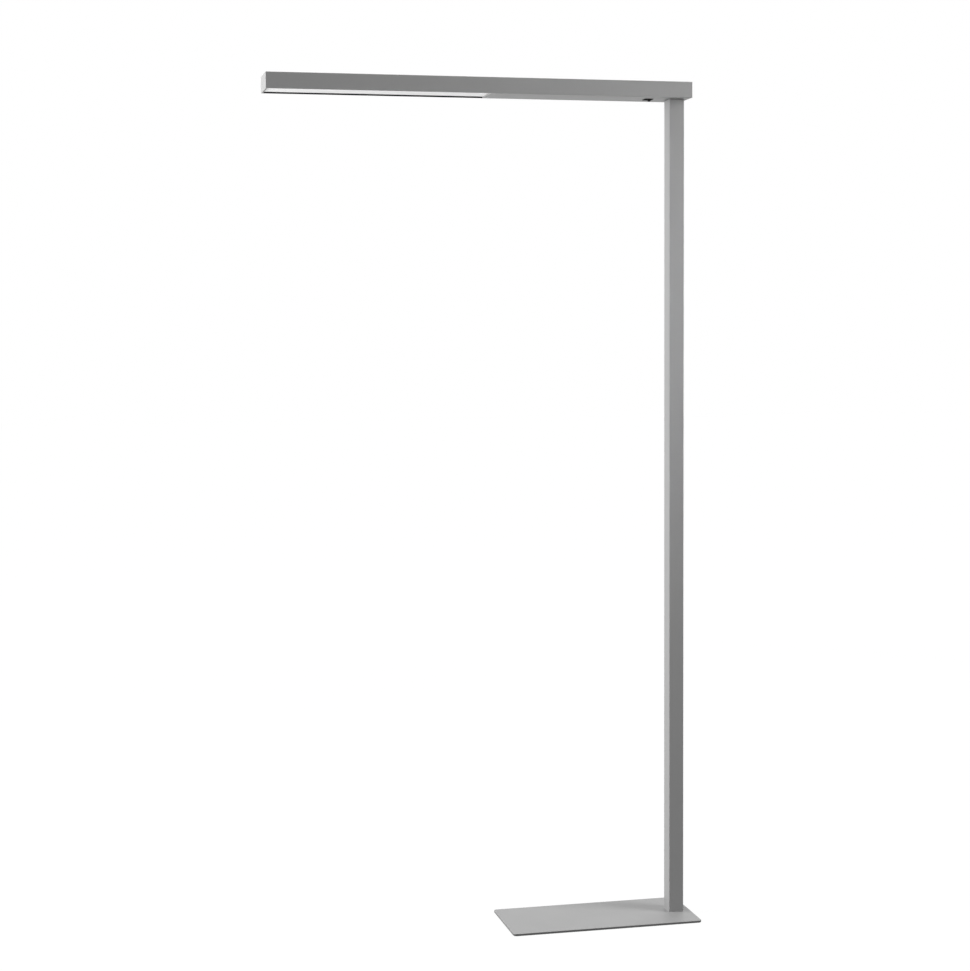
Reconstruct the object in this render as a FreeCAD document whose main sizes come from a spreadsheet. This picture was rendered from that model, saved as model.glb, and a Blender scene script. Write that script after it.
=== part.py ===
"""Office floor lamp: a flat steel base, a slim hollow pole and a long horizontal head.

Millimetres, +Z up. The origin is on the floor under the centre of the base plate.
+X runs from the head's free end towards the pole, +Y towards the rear of the lamp.
"""
import FreeCAD, Part
import Sketcher
import math
import os
import re

Vector = FreeCAD.Vector

# ---------------------------------------------------------------- driving sizes

SIZES = [
    # whole lamp
    ("TotalHeight", 1950, "floor to the top edge of the head"),
    # base
    ("PlateLength", 453, "base plate along X"),
    ("PlateDepth", 205, "base plate along Y"),
    ("PlateThickness", 4.5, "base plate steel"),
    ("PlateCorner", 8, "corner radius of the base plate in plan"),
    ("PlateEdge", 0.8, "rounding of the base plate's upper edge"),
    ("MatThickness", 1.3, "rubber mat under the base plate"),
    ("MatInset", 1, "mat edge inside the plate edge"),
    ("MatWindowMargin", 2, "room round the screw heads in the mat's window"),
    # pole
    ("PoleWidth", 35, "pole along X"),
    ("PoleDepth", 40, "pole along Y"),
    ("PoleWall", 2, "wall of the pole"),
    ("PoleCorner", 1.2, "outer corner radius of the pole"),
    ("PoleToPlateEdge", 18.5, "pole to the end of the base plate"),
    ("InsertGap", 0.1, "play of the inserts inside the pole, each side"),
    ("FootInsertHeight", 30, "block in the foot of the pole"),
    ("TopInsertHeight", 35, "block in the top of the pole"),
    ("InsertChamfer", 1.5, "chamfer of the vertical edges of the inserts"),
    # screws of the base and pole
    ("BaseScrewRadius", 3, "countersunk screws under the base plate"),
    ("BaseScrewLength", 16, "overall length"),
    ("BaseScrewPitchX", 16, "spacing along X"),
    ("BaseScrewPitchY", 20, "spacing along Y"),
    ("PoleScrewRadius", 2, "countersunk screws in the pole's rear wall"),
    ("PoleScrewLength", 12, "overall length"),
    ("ScrewPlay", 0.25, "radial play of a screw in a clearance hole"),
    ("ThreadPlay", 0.05, "radial play of a screw in its thread"),
    ("SinkPlay", 0.1, "play of a countersunk head in its seat"),
    ("SocketShare", 0.42, "hexagon socket to head radius"),
    ("SocketDepthShare", 0.6, "socket depth to head height"),
    # cord inlet
    ("InletHeight", 62, "cord inlet above the foot of the pole"),
    ("InletBore", 7.5, "bore of the grommet"),
    ("InletNeck", 12, "grommet neck, and the hole in the pole"),
    ("InletFlange", 16, "grommet flanges"),
    ("InletFlangeThickness", 1.5, "each flange"),
    # joint of pole and head
    ("GasketThickness", 1, "gasket between pole and head"),
    ("GasketInset", 0.8, "gasket edge inside the pole's outline"),
    ("CableHole", 8.5, "cable hole through insert, gasket and bracket"),
    ("HeadScrewRadius", 2.5, "cap screws that hold the head"),
    ("HeadScrewGrip", 18, "thread length in the top insert"),
    ("HeadScrewHead", 4.25, "cap radius"),
    ("HeadScrewHeadHeight", 5, "cap height"),
    ("HeadScrewPitchX", 19, "spacing along X"),
    ("HeadScrewPitchY", 23, "spacing along Y"),
    ("BracketLength", 48, "head bracket along X"),
    ("BracketDepth", 39, "head bracket along Y"),
    ("BossInset", 0.6, "bracket boss inside the pole's outline"),
    ("BossPlay", 0.3, "play of the boss in the bottom cover"),
    # head
    ("HeadLength", 980, "head along X with its end caps"),
    ("HeadDepth", 94, "head along Y"),
    ("HeadHeight", 36, "head along Z"),
    ("HeadWall", 2, "side walls of the housing"),
    ("PoleToHeadEnd", 11, "pole to the head's pole end"),
    ("CapThickness", 4, "end caps"),
    ("HeadEdge", 0.5, "rounding of the head's outer edges"),
    ("WebHeight", 24, "underside of the head to the web"),
    ("WebThickness", 2, "web of the housing"),
    ("LedgeWidth", 3, "inner ledges on the side walls"),
    ("LedgeThickness", 2, "lower ledges"),
    ("UpperLedgeThickness", 1.5, "upper ledges"),
    ("UpperPanelDrop", 1, "upper panels below the head's top edge"),
    ("UpperPanelThickness", 2, "indirect diffuser and top cover"),
    ("PortSize", 5.5, "square screw ports under the web"),
    ("CapScrewRadius", 1.5, "end cap screws"),
    ("CapScrewLength", 12, "overall length"),
    # panels of the head
    ("CoverThickness", 3, "bottom cover"),
    ("PanelEdge", 0.25, "broken edges of the covers"),
    ("PanelPlay", 0.2, "play of a panel beside a wall"),
    ("DiffuserFace", 1.6, "thickness of the direct diffuser's face"),
    ("DiffuserFlange", 1.5, "flange that rests on the ledges"),
    ("SealHeight", 2.6, "black strips beside the direct diffuser"),
    ("DividerThickness", 2, "wall between light and control gear"),
    ("TopCoverLength", 89, "top cover above the pole"),
    ("EndPlay", 0.3, "play at the end of a panel"),
    # light boards
    ("BoardWidth", 60, "light boards along Y"),
    ("BoardThickness", 1.6, "light boards"),
    ("BoardMargin", 5, "board end to compartment end"),
    ("LedSize", 3, "light-emitting chips, square"),
    ("LedHeight", 0.8, "light-emitting chips"),
    ("LedRowSpacing", 36, "between the two rows"),
    ("LedEndMargin", 10, "first chip from the board's end"),
    ("DirectLedCount", 24, "chips in a row below"),
    ("IndirectLedCount", 44, "chips in a row above"),
    # control gear
    ("DriverLength", 260, "driver case along X"),
    ("DriverWidth", 30, "driver case along Y"),
    ("DriverHeight", 17, "driver case along Z"),
    ("DriverFoot", 11, "length of each foot of the driver"),
    ("FootThickness", 2, "feet of the driver and the terminal"),
    ("DriverOffsetY", 20, "driver's centre line"),
    ("DriverGap", 22, "divider to driver"),
    ("DriverEdge", 1.5, "rounded edges of the driver case"),
    ("TerminalLength", 35, "mains terminal along X"),
    ("TerminalWidth", 16, "mains terminal along Y"),
    ("TerminalHeight", 16, "mains terminal along Z"),
    ("TerminalOffsetY", 29, "terminal's and cable's centre line"),
    ("TerminalGap", 16, "driver to terminal"),
    ("ButtonGap", 16.5, "terminal to the button's axis"),
    ("GearScrewRadius", 1.5, "pan screws of driver and terminal"),
    ("GearScrewHead", 2.8, "pan head radius"),
    ("GearScrewHeadHeight", 1.8, "pan head height"),
    ("CoverScrewRadius", 1.5, "countersunk screws of the bottom cover"),
    ("CoverScrewLength", 8, "overall length"),
    ("CoverScrewInset", 10, "screw to the end of the bottom cover"),
    ("CoverScrewPitchY", 68, "spacing along Y"),
    ("StandoffFlats", 6, "standoff across flats"),
    ("StandoffSpigot", 1.9, "radius of the standoff's riveted end"),
    # push button
    ("ButtonToHeadEnd", 89.5, "button axis to the head's pole end"),
    ("BezelLength", 20, "bezel plate along X"),
    ("BezelDepth", 25, "bezel plate along Y"),
    ("BezelThickness", 1.6, "bezel plate below the cover"),
    ("BezelOffset", 2.5, "middle of the bezel plate to the button axis"),
    ("BezelCorner", 2, "corner radius of the bezel plate"),
    ("BezelEdge", 0.5, "rounding of the bezel plate's lower edge"),
    ("BarrelRadius", 6, "threaded barrel of the bezel"),
    ("BarrelLength", 12, "barrel above the bezel plate"),
    ("BarrelPlay", 0.2, "play of the barrel in the cover"),
    ("BarrelBore", 4.6, "radius of the spring chamber"),
    ("GuideThickness", 2, "floor of the spring chamber"),
    ("PlungerRadius", 3.3, "push button's nose"),
    ("PlungerPlay", 0.1, "radial play of the nose in its guide"),
    ("PlungerDrop", 3.6, "nose below the bezel plate"),
    ("PlungerRound", 0.8, "rounding of the nose"),
    ("CollarRadius", 4.2, "plunger collar on the chamber floor"),
    ("CollarThickness", 1.2, "plunger collar"),
    ("StemRadius", 1.4, "plunger stem"),
    ("StemGap", 0.3, "stem to switch with the button pressed"),
    ("ButtonTravel", 2, "travel of the push button"),
    ("SpringRadius", 3.1, "mean radius of the return spring"),
    ("SpringWire", 0.25, "wire radius of the return spring"),
    ("SpringTurns", 5, "turns of the return spring"),
    ("NutFlats", 15, "ring nut across flats"),
    ("NutThickness", 2.5, "ring nut"),
    ("SwitchSize", 14, "switch body in plan"),
    ("SwitchHeight", 5, "switch body"),
    ("SwitchEdge", 1, "rounded edges of the switch body"),
    # leads
    ("CableRadius", 3, "sheathed cable in the pole"),
    ("CableBendFoot", 12, "bend behind the cord inlet"),
    ("CableBendHead", 10, "bends in the head"),
    ("WireRadius", 1.1, "single mains wires"),
    ("WireSpacing", 4.5, "between the mains wires"),
    ("LeadRadius", 1.2, "leads to the light boards"),
    ("LeadBend", 5, "bends of the leads"),
    ("LeadSpacing", 12, "between the two leads"),
    ("LeadDrop", 9, "leads below the web"),
    ("LeadReach", 10, "past the hole or wall"),
    ("WebGrommetNeck", 5, "grommet neck in the web"),
    ("WebGrommetFlange", 7, "grommet flange under the web"),
    ("WebGrommetFlangeThickness", 1, "grommet flange"),
    ("LeadPlay", 0.3, "play of a lead in a hole"),
    ("SwitchWireRadius", 0.8, "wires of the switch"),
    ("SwitchWireSpacing", 2.4, "between the switch wires"),
]

doc = FreeCAD.newDocument("OfficeFloorLamp")
sheet = doc.addObject("Spreadsheet::Sheet", "Sizes")
sheet.Label = "Sizes"
for row, (alias, value, meaning) in enumerate(SIZES, start=1):
    sheet.set(f"A{row}", meaning)
    sheet.set(f"B{row}", str(value))
    sheet.setAlias(f"B{row}", alias)
doc.recompute()
ALIASES = {alias for alias, value, meaning in SIZES}

# ---------------------------------------------------------------- derived places

# pole
POLE_X = "(PlateLength / 2 - PoleToPlateEdge - PoleWidth / 2)"
FOOT_Z = "(MatThickness + PlateThickness)"
UNDERSIDE_Z = "(TotalHeight - HeadHeight)"
POLE_TOP_Z = f"({UNDERSIDE_Z} - GasketThickness)"
POLE_LENGTH = f"({POLE_TOP_Z} - {FOOT_Z})"
POLE_SCREW_RISE = f"({POLE_LENGTH} - TopInsertHeight / 2 - FootInsertHeight / 2)"
POLE_SINK = "(PoleWall - SinkPlay)"
INSERT_WIDTH = "(PoleWidth - 2 * PoleWall - 2 * InsertGap)"
INSERT_DEPTH = "(PoleDepth - 2 * PoleWall - 2 * InsertGap)"

# head
HEAD_END_X = f"({POLE_X} + PoleWidth / 2 + PoleToHeadEnd)"
FREE_END_X = f"({HEAD_END_X} - HeadLength)"
HOUSING_X = f"({FREE_END_X} + CapThickness)"
HOUSING_LENGTH = "(HeadLength - 2 * CapThickness)"
COVER_TOP_Z = f"({UNDERSIDE_Z} + CoverThickness)"
WEB_Z = f"({UNDERSIDE_Z} + WebHeight)"
WEB_TOP_Z = f"({WEB_Z} + WebThickness)"
UPPER_PANEL_Z = "(TotalHeight - UpperPanelDrop - UpperPanelThickness)"
INNER_HALF = "(HeadDepth / 2 - HeadWall)"
PORT_Y = f"({INNER_HALF} - PortSize / 2)"
PORT_Z = "(WebHeight - PortSize / 2)"
PANEL_WIDTH = f"(2 * ({INNER_HALF} - PanelPlay))"

# the bottom cover is as long as the control gear and the button need, the diffusers take the rest
DRIVER_FULL = "(DriverLength + 2 * DriverFoot)"
TERMINAL_FULL = "(TerminalLength + DriverFoot)"
GEAR_LENGTH = f"(DividerThickness + DriverGap + {DRIVER_FULL} + TerminalGap + {TERMINAL_FULL})"
COVER_LENGTH = f"({GEAR_LENGTH} + ButtonGap + ButtonToHeadEnd - CapThickness)"
DIRECT_LENGTH = f"({HOUSING_LENGTH} - {COVER_LENGTH})"
INDIRECT_LENGTH = f"({HOUSING_LENGTH} - TopCoverLength)"
DIRECT_PANEL = f"({DIRECT_LENGTH} - 2 * EndPlay)"
COVER_X = f"({HOUSING_X} + {DIRECT_LENGTH})"
COVER_SCREW_PITCH_X = f"({COVER_LENGTH} - EndPlay - 2 * CoverScrewInset)"
DRIVER_X = f"({COVER_X} + DividerThickness + DriverGap)"
DRIVER_CASE_END = f"({DRIVER_X} + DriverFoot + DriverLength)"
TERMINAL_X = f"({DRIVER_X} + {DRIVER_FULL} + TerminalGap)"

# push button
BUTTON_X = f"({HEAD_END_X} - ButtonToHeadEnd)"
CHAMBER_FLOOR = "(GuideThickness - BezelThickness)"
COLLAR_TOP = f"({CHAMBER_FLOOR} + CollarThickness)"

X_AXIS, Y_AXIS, Z_AXIS = Vector(1, 0, 0), Vector(0, 1, 0), Vector(0, 0, 1)
TO_FRONT = (X_AXIS, 90)
TO_BELOW = (X_AXIS, 180)
TO_POLE_END = (Y_AXIS, 90)
TO_FREE_END = (Y_AXIS, -90)
TOUCH = 1e-3    # edges this close to a plane lie on it


# ---------------------------------------------------------------- helpers

def bind(obj, prop, text):
    """Tie a property to sheet cells; the text names cells by their aliases."""
    named = re.sub(r"[A-Za-z_]+", lambda word: f"Sizes.{word[0]}" if word[0] in ALIASES else word[0], text)
    obj.setExpression(prop, named)


def size(alias):
    return float(sheet.get(alias))


def new_body(label, x="0", y="0", z="0", turn=(Vector(0, 0, 1), 0)):
    body = doc.addObject("PartDesign::Body", label)
    body.Label = label
    body.AllowCompound = True
    body.Placement = FreeCAD.Placement(Vector(0, 0, 0), FreeCAD.Rotation(*turn))
    for axis, text in zip("xyz", (x, y, z)):
        bind(body, f"Placement.Base.{axis}", text)
    return body


def own(body, role):
    """One of the body's own origin planes or axes."""
    return next(item for item in body.Origin.OriginFeatures if item.Role == role)


def sketch_on(body, role, x="0", y="0", z="0"):
    """Empty sketch on an origin plane; x, y and z shift it in its own directions."""
    sketch = body.newObject("Sketcher::SketchObject", f"{body.Label}_sketch")
    sketch.AttachmentSupport = [(own(body, role), "")]
    sketch.MapMode = "FlatFace"
    for axis, text in zip("xyz", (x, y, z)):
        bind(sketch, f"AttachmentOffset.Base.{axis}", text)
    return sketch


def dimension(sketch, text, *constraint):
    """Add one driving dimension and tie it to the sheet."""
    index = sketch.addConstraint(Sketcher.Constraint(*constraint))
    bind(sketch, f"Constraints[{index}]", text)


def add_rect(sketch, width, height):
    """Rectangle centred on the sketch's origin."""
    corners = [Vector(-1, -1, 0), Vector(1, -1, 0), Vector(1, 1, 0), Vector(-1, 1, 0)]
    first = sketch.GeometryCount
    for start, end in zip(corners, corners[1:] + corners[:1]):
        sketch.addGeometry(Part.LineSegment(start, end), False)
    bottom, right, top, left = range(first, first + 4)
    for line, following in ((bottom, right), (right, top), (top, left), (left, bottom)):
        sketch.addConstraint(Sketcher.Constraint("Coincident", line, 2, following, 1))
    for line in (bottom, top):
        sketch.addConstraint(Sketcher.Constraint("Horizontal", line))
    for line in (right, left):
        sketch.addConstraint(Sketcher.Constraint("Vertical", line))
    sketch.addConstraint(Sketcher.Constraint("Symmetric", bottom, 1, right, 2, -1, 1))
    dimension(sketch, width, "DistanceX", bottom, 1, bottom, 2, 2.0)
    dimension(sketch, height, "DistanceY", right, 1, right, 2, 2.0)


def add_outline(sketch, points):
    """Closed outline whose corners are dimensioned from the sketch's origin."""
    count = len(points)
    rough = [Vector(math.cos(2 * math.pi * i / count), math.sin(2 * math.pi * i / count), 0)
             for i in range(count)]
    for i in range(count):
        sketch.addGeometry(Part.LineSegment(rough[i], rough[(i + 1) % count]), False)
    for i in range(count):
        sketch.addConstraint(Sketcher.Constraint("Coincident", i, 2, (i + 1) % count, 1))
    for i, (x, y) in enumerate(points):
        dimension(sketch, x, "DistanceX", i, 1, rough[i].x)
        dimension(sketch, y, "DistanceY", i, 1, rough[i].y)


def add_circle(sketch, diameter):
    """Circle on the sketch's origin."""
    circle = sketch.addGeometry(Part.Circle(Vector(0, 0, 0), Vector(0, 0, 1), 1), False)
    sketch.addConstraint(Sketcher.Constraint("Coincident", circle, 3, -1, 1))
    dimension(sketch, diameter, "Diameter", circle, 2.0)


def pad(body, sketch, length, backwards=False):
    feature = body.newObject("PartDesign::Pad", f"{body.Label}_pad")
    feature.Profile = sketch
    feature.Reversed = backwards
    bind(feature, "Length", length)
    return feature


def pocket(body, sketch, length, backwards=False):
    """Cut along the sketch's normal reversed, or along it when backwards."""
    feature = body.newObject("PartDesign::Pocket", f"{body.Label}_pocket")
    feature.Profile = sketch
    feature.Reversed = backwards
    bind(feature, "Length", length)
    return feature


def revolve(body, sketch, role):
    feature = body.newObject("PartDesign::Revolution", f"{body.Label}_revolution")
    feature.Profile = sketch
    feature.ReferenceAxis = (own(body, role), [""])
    feature.Angle = 360
    return feature


def primitive(body, kind, x="0", y="0", z="0", turn=None, **sizes):
    """Additive or subtractive cylinder, cone, prism or box, shifted and turned in the body."""
    feature = body.newObject(f"PartDesign::{kind}", f"{body.Label}_{kind}")
    if turn:
        feature.Placement = FreeCAD.Placement(Vector(0, 0, 0), FreeCAD.Rotation(*turn))
    for axis, text in zip("xyz", (x, y, z)):
        bind(feature, f"Placement.Base.{axis}", text)
    for prop, text in sizes.items():
        bind(feature, prop, text)
    return feature


def row_of(body, originals, roles, lengths, counts=("2", "2")):
    """Repeat features in one or two directions; each length is the whole extent."""
    pattern = body.newObject("PartDesign::LinearPattern", f"{body.Label}_pattern")
    pattern.Originals = originals
    for suffix, role, length, count in zip(("", "2"), roles, lengths, counts):
        setattr(pattern, f"Direction{suffix}", (own(body, role), [""]))
        bind(pattern, f"Length{suffix}", length)
        bind(pattern, f"Occurrences{suffix}", count)
    body.Tip = pattern
    return pattern


def edge_names(feature, wanted):
    return [f"Edge{i}" for i, edge in enumerate(feature.Shape.Edges, start=1) if wanted(edge)]


def along(edge, direction):
    """True for a straight edge along the direction."""
    if edge.Curve.TypeId != "Part::GeomLine":
        return False
    return abs(abs(edge.tangentAt(edge.FirstParameter).dot(direction)) - 1) < 1e-6


def dress(body, kind, feature, wanted, prop, text):
    """Fillet or chamfer the wanted edges of a feature."""
    doc.recompute()
    names = edge_names(feature, wanted)
    if not names:
        raise RuntimeError(f"{body.Label}: no edges for its {kind}")
    dressing = body.newObject(f"PartDesign::{kind}", f"{body.Label}_{kind}")
    dressing.Base = (feature, names)
    bind(dressing, prop, text)
    body.Tip = dressing
    return dressing


def countersunk_screw(body, turn, radius, length, head_height, **place):
    """Cone and shank of a screw whose flat head lies on the body's reference plane."""
    return [
        primitive(body, "AdditiveCone", turn=turn, Radius1=f"2 * {radius}", Radius2=radius,
                  Height=head_height, **place),
        primitive(body, "AdditiveCylinder", turn=turn, Radius=radius, Height=length, **place),
    ]


def hex_socket(body, turn, head_radius, head_height, **place):
    return primitive(body, "SubtractivePrism", turn=turn, Polygon="6",
                     Circumradius=f"{head_radius} * SocketShare",
                     Height=f"{head_height} * SocketDepthShare", **place)


def cap_screw(body, head_radius, head_height, radius, length, **place):
    """Round head below the body's reference plane, shank above it along +Z."""
    return [
        primitive(body, "AdditiveCylinder", Radius=head_radius, Height=head_height, z=f"-{head_height}",
                  **place),
        primitive(body, "AdditiveCylinder", Radius=radius, Height=length, **place),
        hex_socket(body, None, head_radius, head_height, z=f"-{head_height}", **place),
    ]


def countersink(body, turn, radius, head_height, length, **place):
    """Clearance hole with a conical seat; the seat's mouth lies on the body's reference plane."""
    return [
        primitive(body, "SubtractiveCone", turn=turn, Radius1=f"({radius} * 2 + SinkPlay)",
                  Radius2=f"({radius} + SinkPlay)", Height=head_height, **place),
        primitive(body, "SubtractiveCylinder", turn=turn, Radius=f"({radius} + ScrewPlay)", Height=length,
                  **place),
    ]


# ---------------------------------------------------------------- base

def make_floor_mat():
    body = new_body("floor_mat")
    sketch = sketch_on(body, "XY_Plane")
    add_rect(sketch, "PlateLength - 2 * MatInset", "PlateDepth - 2 * MatInset")
    mat = pad(body, sketch, "MatThickness")
    dress(body, "Fillet", mat, lambda edge: along(edge, Z_AXIS), "Radius", "PlateCorner - MatInset")
    window = sketch_on(body, "XY_Plane", x=POLE_X, z="MatThickness")
    add_rect(window, "BaseScrewPitchX + 4 * BaseScrewRadius + 2 * MatWindowMargin",
             "BaseScrewPitchY + 4 * BaseScrewRadius + 2 * MatWindowMargin")
    pocket(body, window, "MatThickness")


def make_base_plate():
    body = new_body("base_plate", z="MatThickness")
    sketch = sketch_on(body, "XY_Plane")
    add_rect(sketch, "PlateLength", "PlateDepth")
    plate = pad(body, sketch, "PlateThickness")
    rounded = dress(body, "Fillet", plate, lambda edge: along(edge, Z_AXIS), "Radius", "PlateCorner")
    top = size("PlateThickness")
    dress(body, "Fillet", rounded, lambda edge: edge.BoundBox.ZMin > top - TOUCH, "Radius", "PlateEdge")
    seat = countersink(body, None, "BaseScrewRadius", "BaseScrewRadius", "PlateThickness",
                       x=f"{POLE_X} - BaseScrewPitchX / 2", y="-BaseScrewPitchY / 2")
    row_of(body, seat, ("X_Axis", "Y_Axis"), ("BaseScrewPitchX", "BaseScrewPitchY"))


def make_base_screws():
    body = new_body("base_screws", x=POLE_X, z="MatThickness")
    place = {"x": "-BaseScrewPitchX / 2", "y": "-BaseScrewPitchY / 2"}
    screw = countersunk_screw(body, None, "BaseScrewRadius", "BaseScrewLength", "BaseScrewRadius", **place)
    screw.append(hex_socket(body, None, "2 * BaseScrewRadius", "BaseScrewRadius", **place))
    row_of(body, screw, ("X_Axis", "Y_Axis"), ("BaseScrewPitchX", "BaseScrewPitchY"))


# ---------------------------------------------------------------- pole

def insert_block(label, z, height):
    """Solid block that fills the pole's hollow, with chamfered vertical edges."""
    body = new_body(label, x=POLE_X, z=z)
    sketch = sketch_on(body, "XY_Plane")
    add_rect(sketch, INSERT_WIDTH, INSERT_DEPTH)
    block = pad(body, sketch, height)
    dress(body, "Chamfer", block, lambda edge: along(edge, Z_AXIS), "Size", "InsertChamfer")
    primitive(body, "SubtractiveCylinder", turn=TO_FRONT, Radius="PoleScrewRadius + ThreadPlay",
              Height="PoleScrewLength - PoleWall", y=f"{INSERT_DEPTH} / 2", z=f"{height} / 2")
    return body


def make_pole_foot_insert():
    body = insert_block("pole_foot_insert", FOOT_Z, "FootInsertHeight")
    thread = primitive(body, "SubtractiveCylinder", Radius="BaseScrewRadius + ThreadPlay",
                       Height="BaseScrewLength", x="-BaseScrewPitchX / 2", y="-BaseScrewPitchY / 2")
    row_of(body, [thread], ("X_Axis", "Y_Axis"), ("BaseScrewPitchX", "BaseScrewPitchY"))


def make_pole_top_insert():
    body = insert_block("pole_top_insert", f"{POLE_TOP_Z} - TopInsertHeight", "TopInsertHeight")
    primitive(body, "SubtractiveCylinder", Radius="CableHole / 2", Height="TopInsertHeight")
    thread = primitive(body, "SubtractiveCylinder", turn=TO_BELOW, Radius="HeadScrewRadius + ThreadPlay",
                       Height="HeadScrewGrip + HeadScrewRadius", x="-HeadScrewPitchX / 2",
                       y="-HeadScrewPitchY / 2", z="TopInsertHeight")
    row_of(body, [thread], ("X_Axis", "Y_Axis"), ("HeadScrewPitchX", "HeadScrewPitchY"))


def make_pole():
    body = new_body("pole", x=POLE_X, z=FOOT_Z)
    sketch = sketch_on(body, "XY_Plane")
    add_rect(sketch, "PoleWidth", "PoleDepth")
    add_rect(sketch, "PoleWidth - 2 * PoleWall", "PoleDepth - 2 * PoleWall")
    tube = pad(body, sketch, POLE_LENGTH)
    middle_of_wall = (size("PoleWidth") - size("PoleWall")) / 2
    dress(body, "Fillet", tube,
          lambda edge: along(edge, Z_AXIS) and abs(edge.CenterOfMass.x - tube.Shape.CenterOfMass.x)
          > middle_of_wall, "Radius", "PoleCorner")
    primitive(body, "SubtractiveCylinder", turn=TO_FRONT, Radius="InletNeck / 2", Height="2 * PoleWall",
              y="PoleDepth / 2", z="InletHeight")
    seat = countersink(body, TO_FRONT, "PoleScrewRadius", POLE_SINK, "2 * PoleWall",
                       y="PoleDepth / 2", z="FootInsertHeight / 2")
    row_of(body, seat, ("Z_Axis",), (POLE_SCREW_RISE,))


def make_pole_screws():
    body = new_body("pole_screws", x=POLE_X, y="PoleDepth / 2", z=f"{FOOT_Z} + FootInsertHeight / 2")
    screw = countersunk_screw(body, TO_FRONT, "PoleScrewRadius", "PoleScrewLength", POLE_SINK)
    screw.append(hex_socket(body, TO_FRONT, "2 * PoleScrewRadius", POLE_SINK))
    row_of(body, screw, ("Z_Axis",), (POLE_SCREW_RISE,))


def make_cord_grommet():
    """Flanged rubber ring in the pole's rear wall; its axis runs along Y."""
    body = new_body("cord_grommet", x=POLE_X, y="PoleDepth / 2", z=f"{FOOT_Z} + InletHeight")
    sketch = sketch_on(body, "YZ_Plane")
    outside, wall = "InletFlangeThickness", "-PoleWall"
    inside = "-PoleWall - InletFlangeThickness"
    bore, neck, flange = "InletBore / 2", "InletNeck / 2 - ThreadPlay", "InletFlange / 2"
    add_outline(sketch, [(inside, bore), (outside, bore), (outside, flange), ("0", flange),
                         ("0", neck), (wall, neck), (wall, flange), (inside, flange)])
    revolve(body, sketch, "Y_Axis")


# ---------------------------------------------------------------- joint of pole and head

def four_head_screw_holes(body, height, z="0"):
    hole = primitive(body, "SubtractiveCylinder", Radius="HeadScrewRadius + ScrewPlay", Height=height,
                     x="-HeadScrewPitchX / 2", y="-HeadScrewPitchY / 2", z=z)
    row_of(body, [hole], ("X_Axis", "Y_Axis"), ("HeadScrewPitchX", "HeadScrewPitchY"))


def make_head_gasket():
    body = new_body("head_gasket", x=POLE_X, z=POLE_TOP_Z)
    sketch = sketch_on(body, "XY_Plane")
    add_rect(sketch, "PoleWidth - 2 * GasketInset", "PoleDepth - 2 * GasketInset")
    add_circle(sketch, "CableHole")
    pad(body, sketch, "GasketThickness")
    four_head_screw_holes(body, "GasketThickness")


def make_head_bracket():
    """Block under the web; its boss passes through the bottom cover and stands on the gasket."""
    body = new_body("head_bracket", x=POLE_X, z=UNDERSIDE_Z)
    boss = sketch_on(body, "XY_Plane")
    add_rect(boss, "PoleWidth - 2 * BossInset", "PoleDepth - 2 * BossInset")
    pad(body, boss, "CoverThickness")
    block = sketch_on(body, "XY_Plane", z="CoverThickness")
    add_rect(block, "BracketLength", "BracketDepth")
    pad(body, block, "WebHeight - CoverThickness")
    primitive(body, "SubtractiveCylinder", Radius="CableHole / 2", Height="WebHeight")
    slot = sketch_on(body, "XY_Plane", y="BracketDepth / 4", z="WebHeight")
    add_rect(slot, "CableHole", "BracketDepth / 2")
    pocket(body, slot, "WebHeight - CoverThickness")
    four_head_screw_holes(body, "WebHeight")


def make_head_screws():
    """Cap screws upside down: the body's own Z runs down along the shanks."""
    body = new_body("head_screws", x=POLE_X, z=WEB_TOP_Z, turn=TO_BELOW)
    place = {"x": "-HeadScrewPitchX / 2", "y": "-HeadScrewPitchY / 2"}
    screw = cap_screw(body, "HeadScrewHead", "HeadScrewHeadHeight", "HeadScrewRadius",
                      "WebThickness + WebHeight + GasketThickness + HeadScrewGrip", **place)
    row_of(body, screw, ("X_Axis", "Y_Axis"), ("HeadScrewPitchX", "HeadScrewPitchY"))


# ---------------------------------------------------------------- head housing

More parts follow.
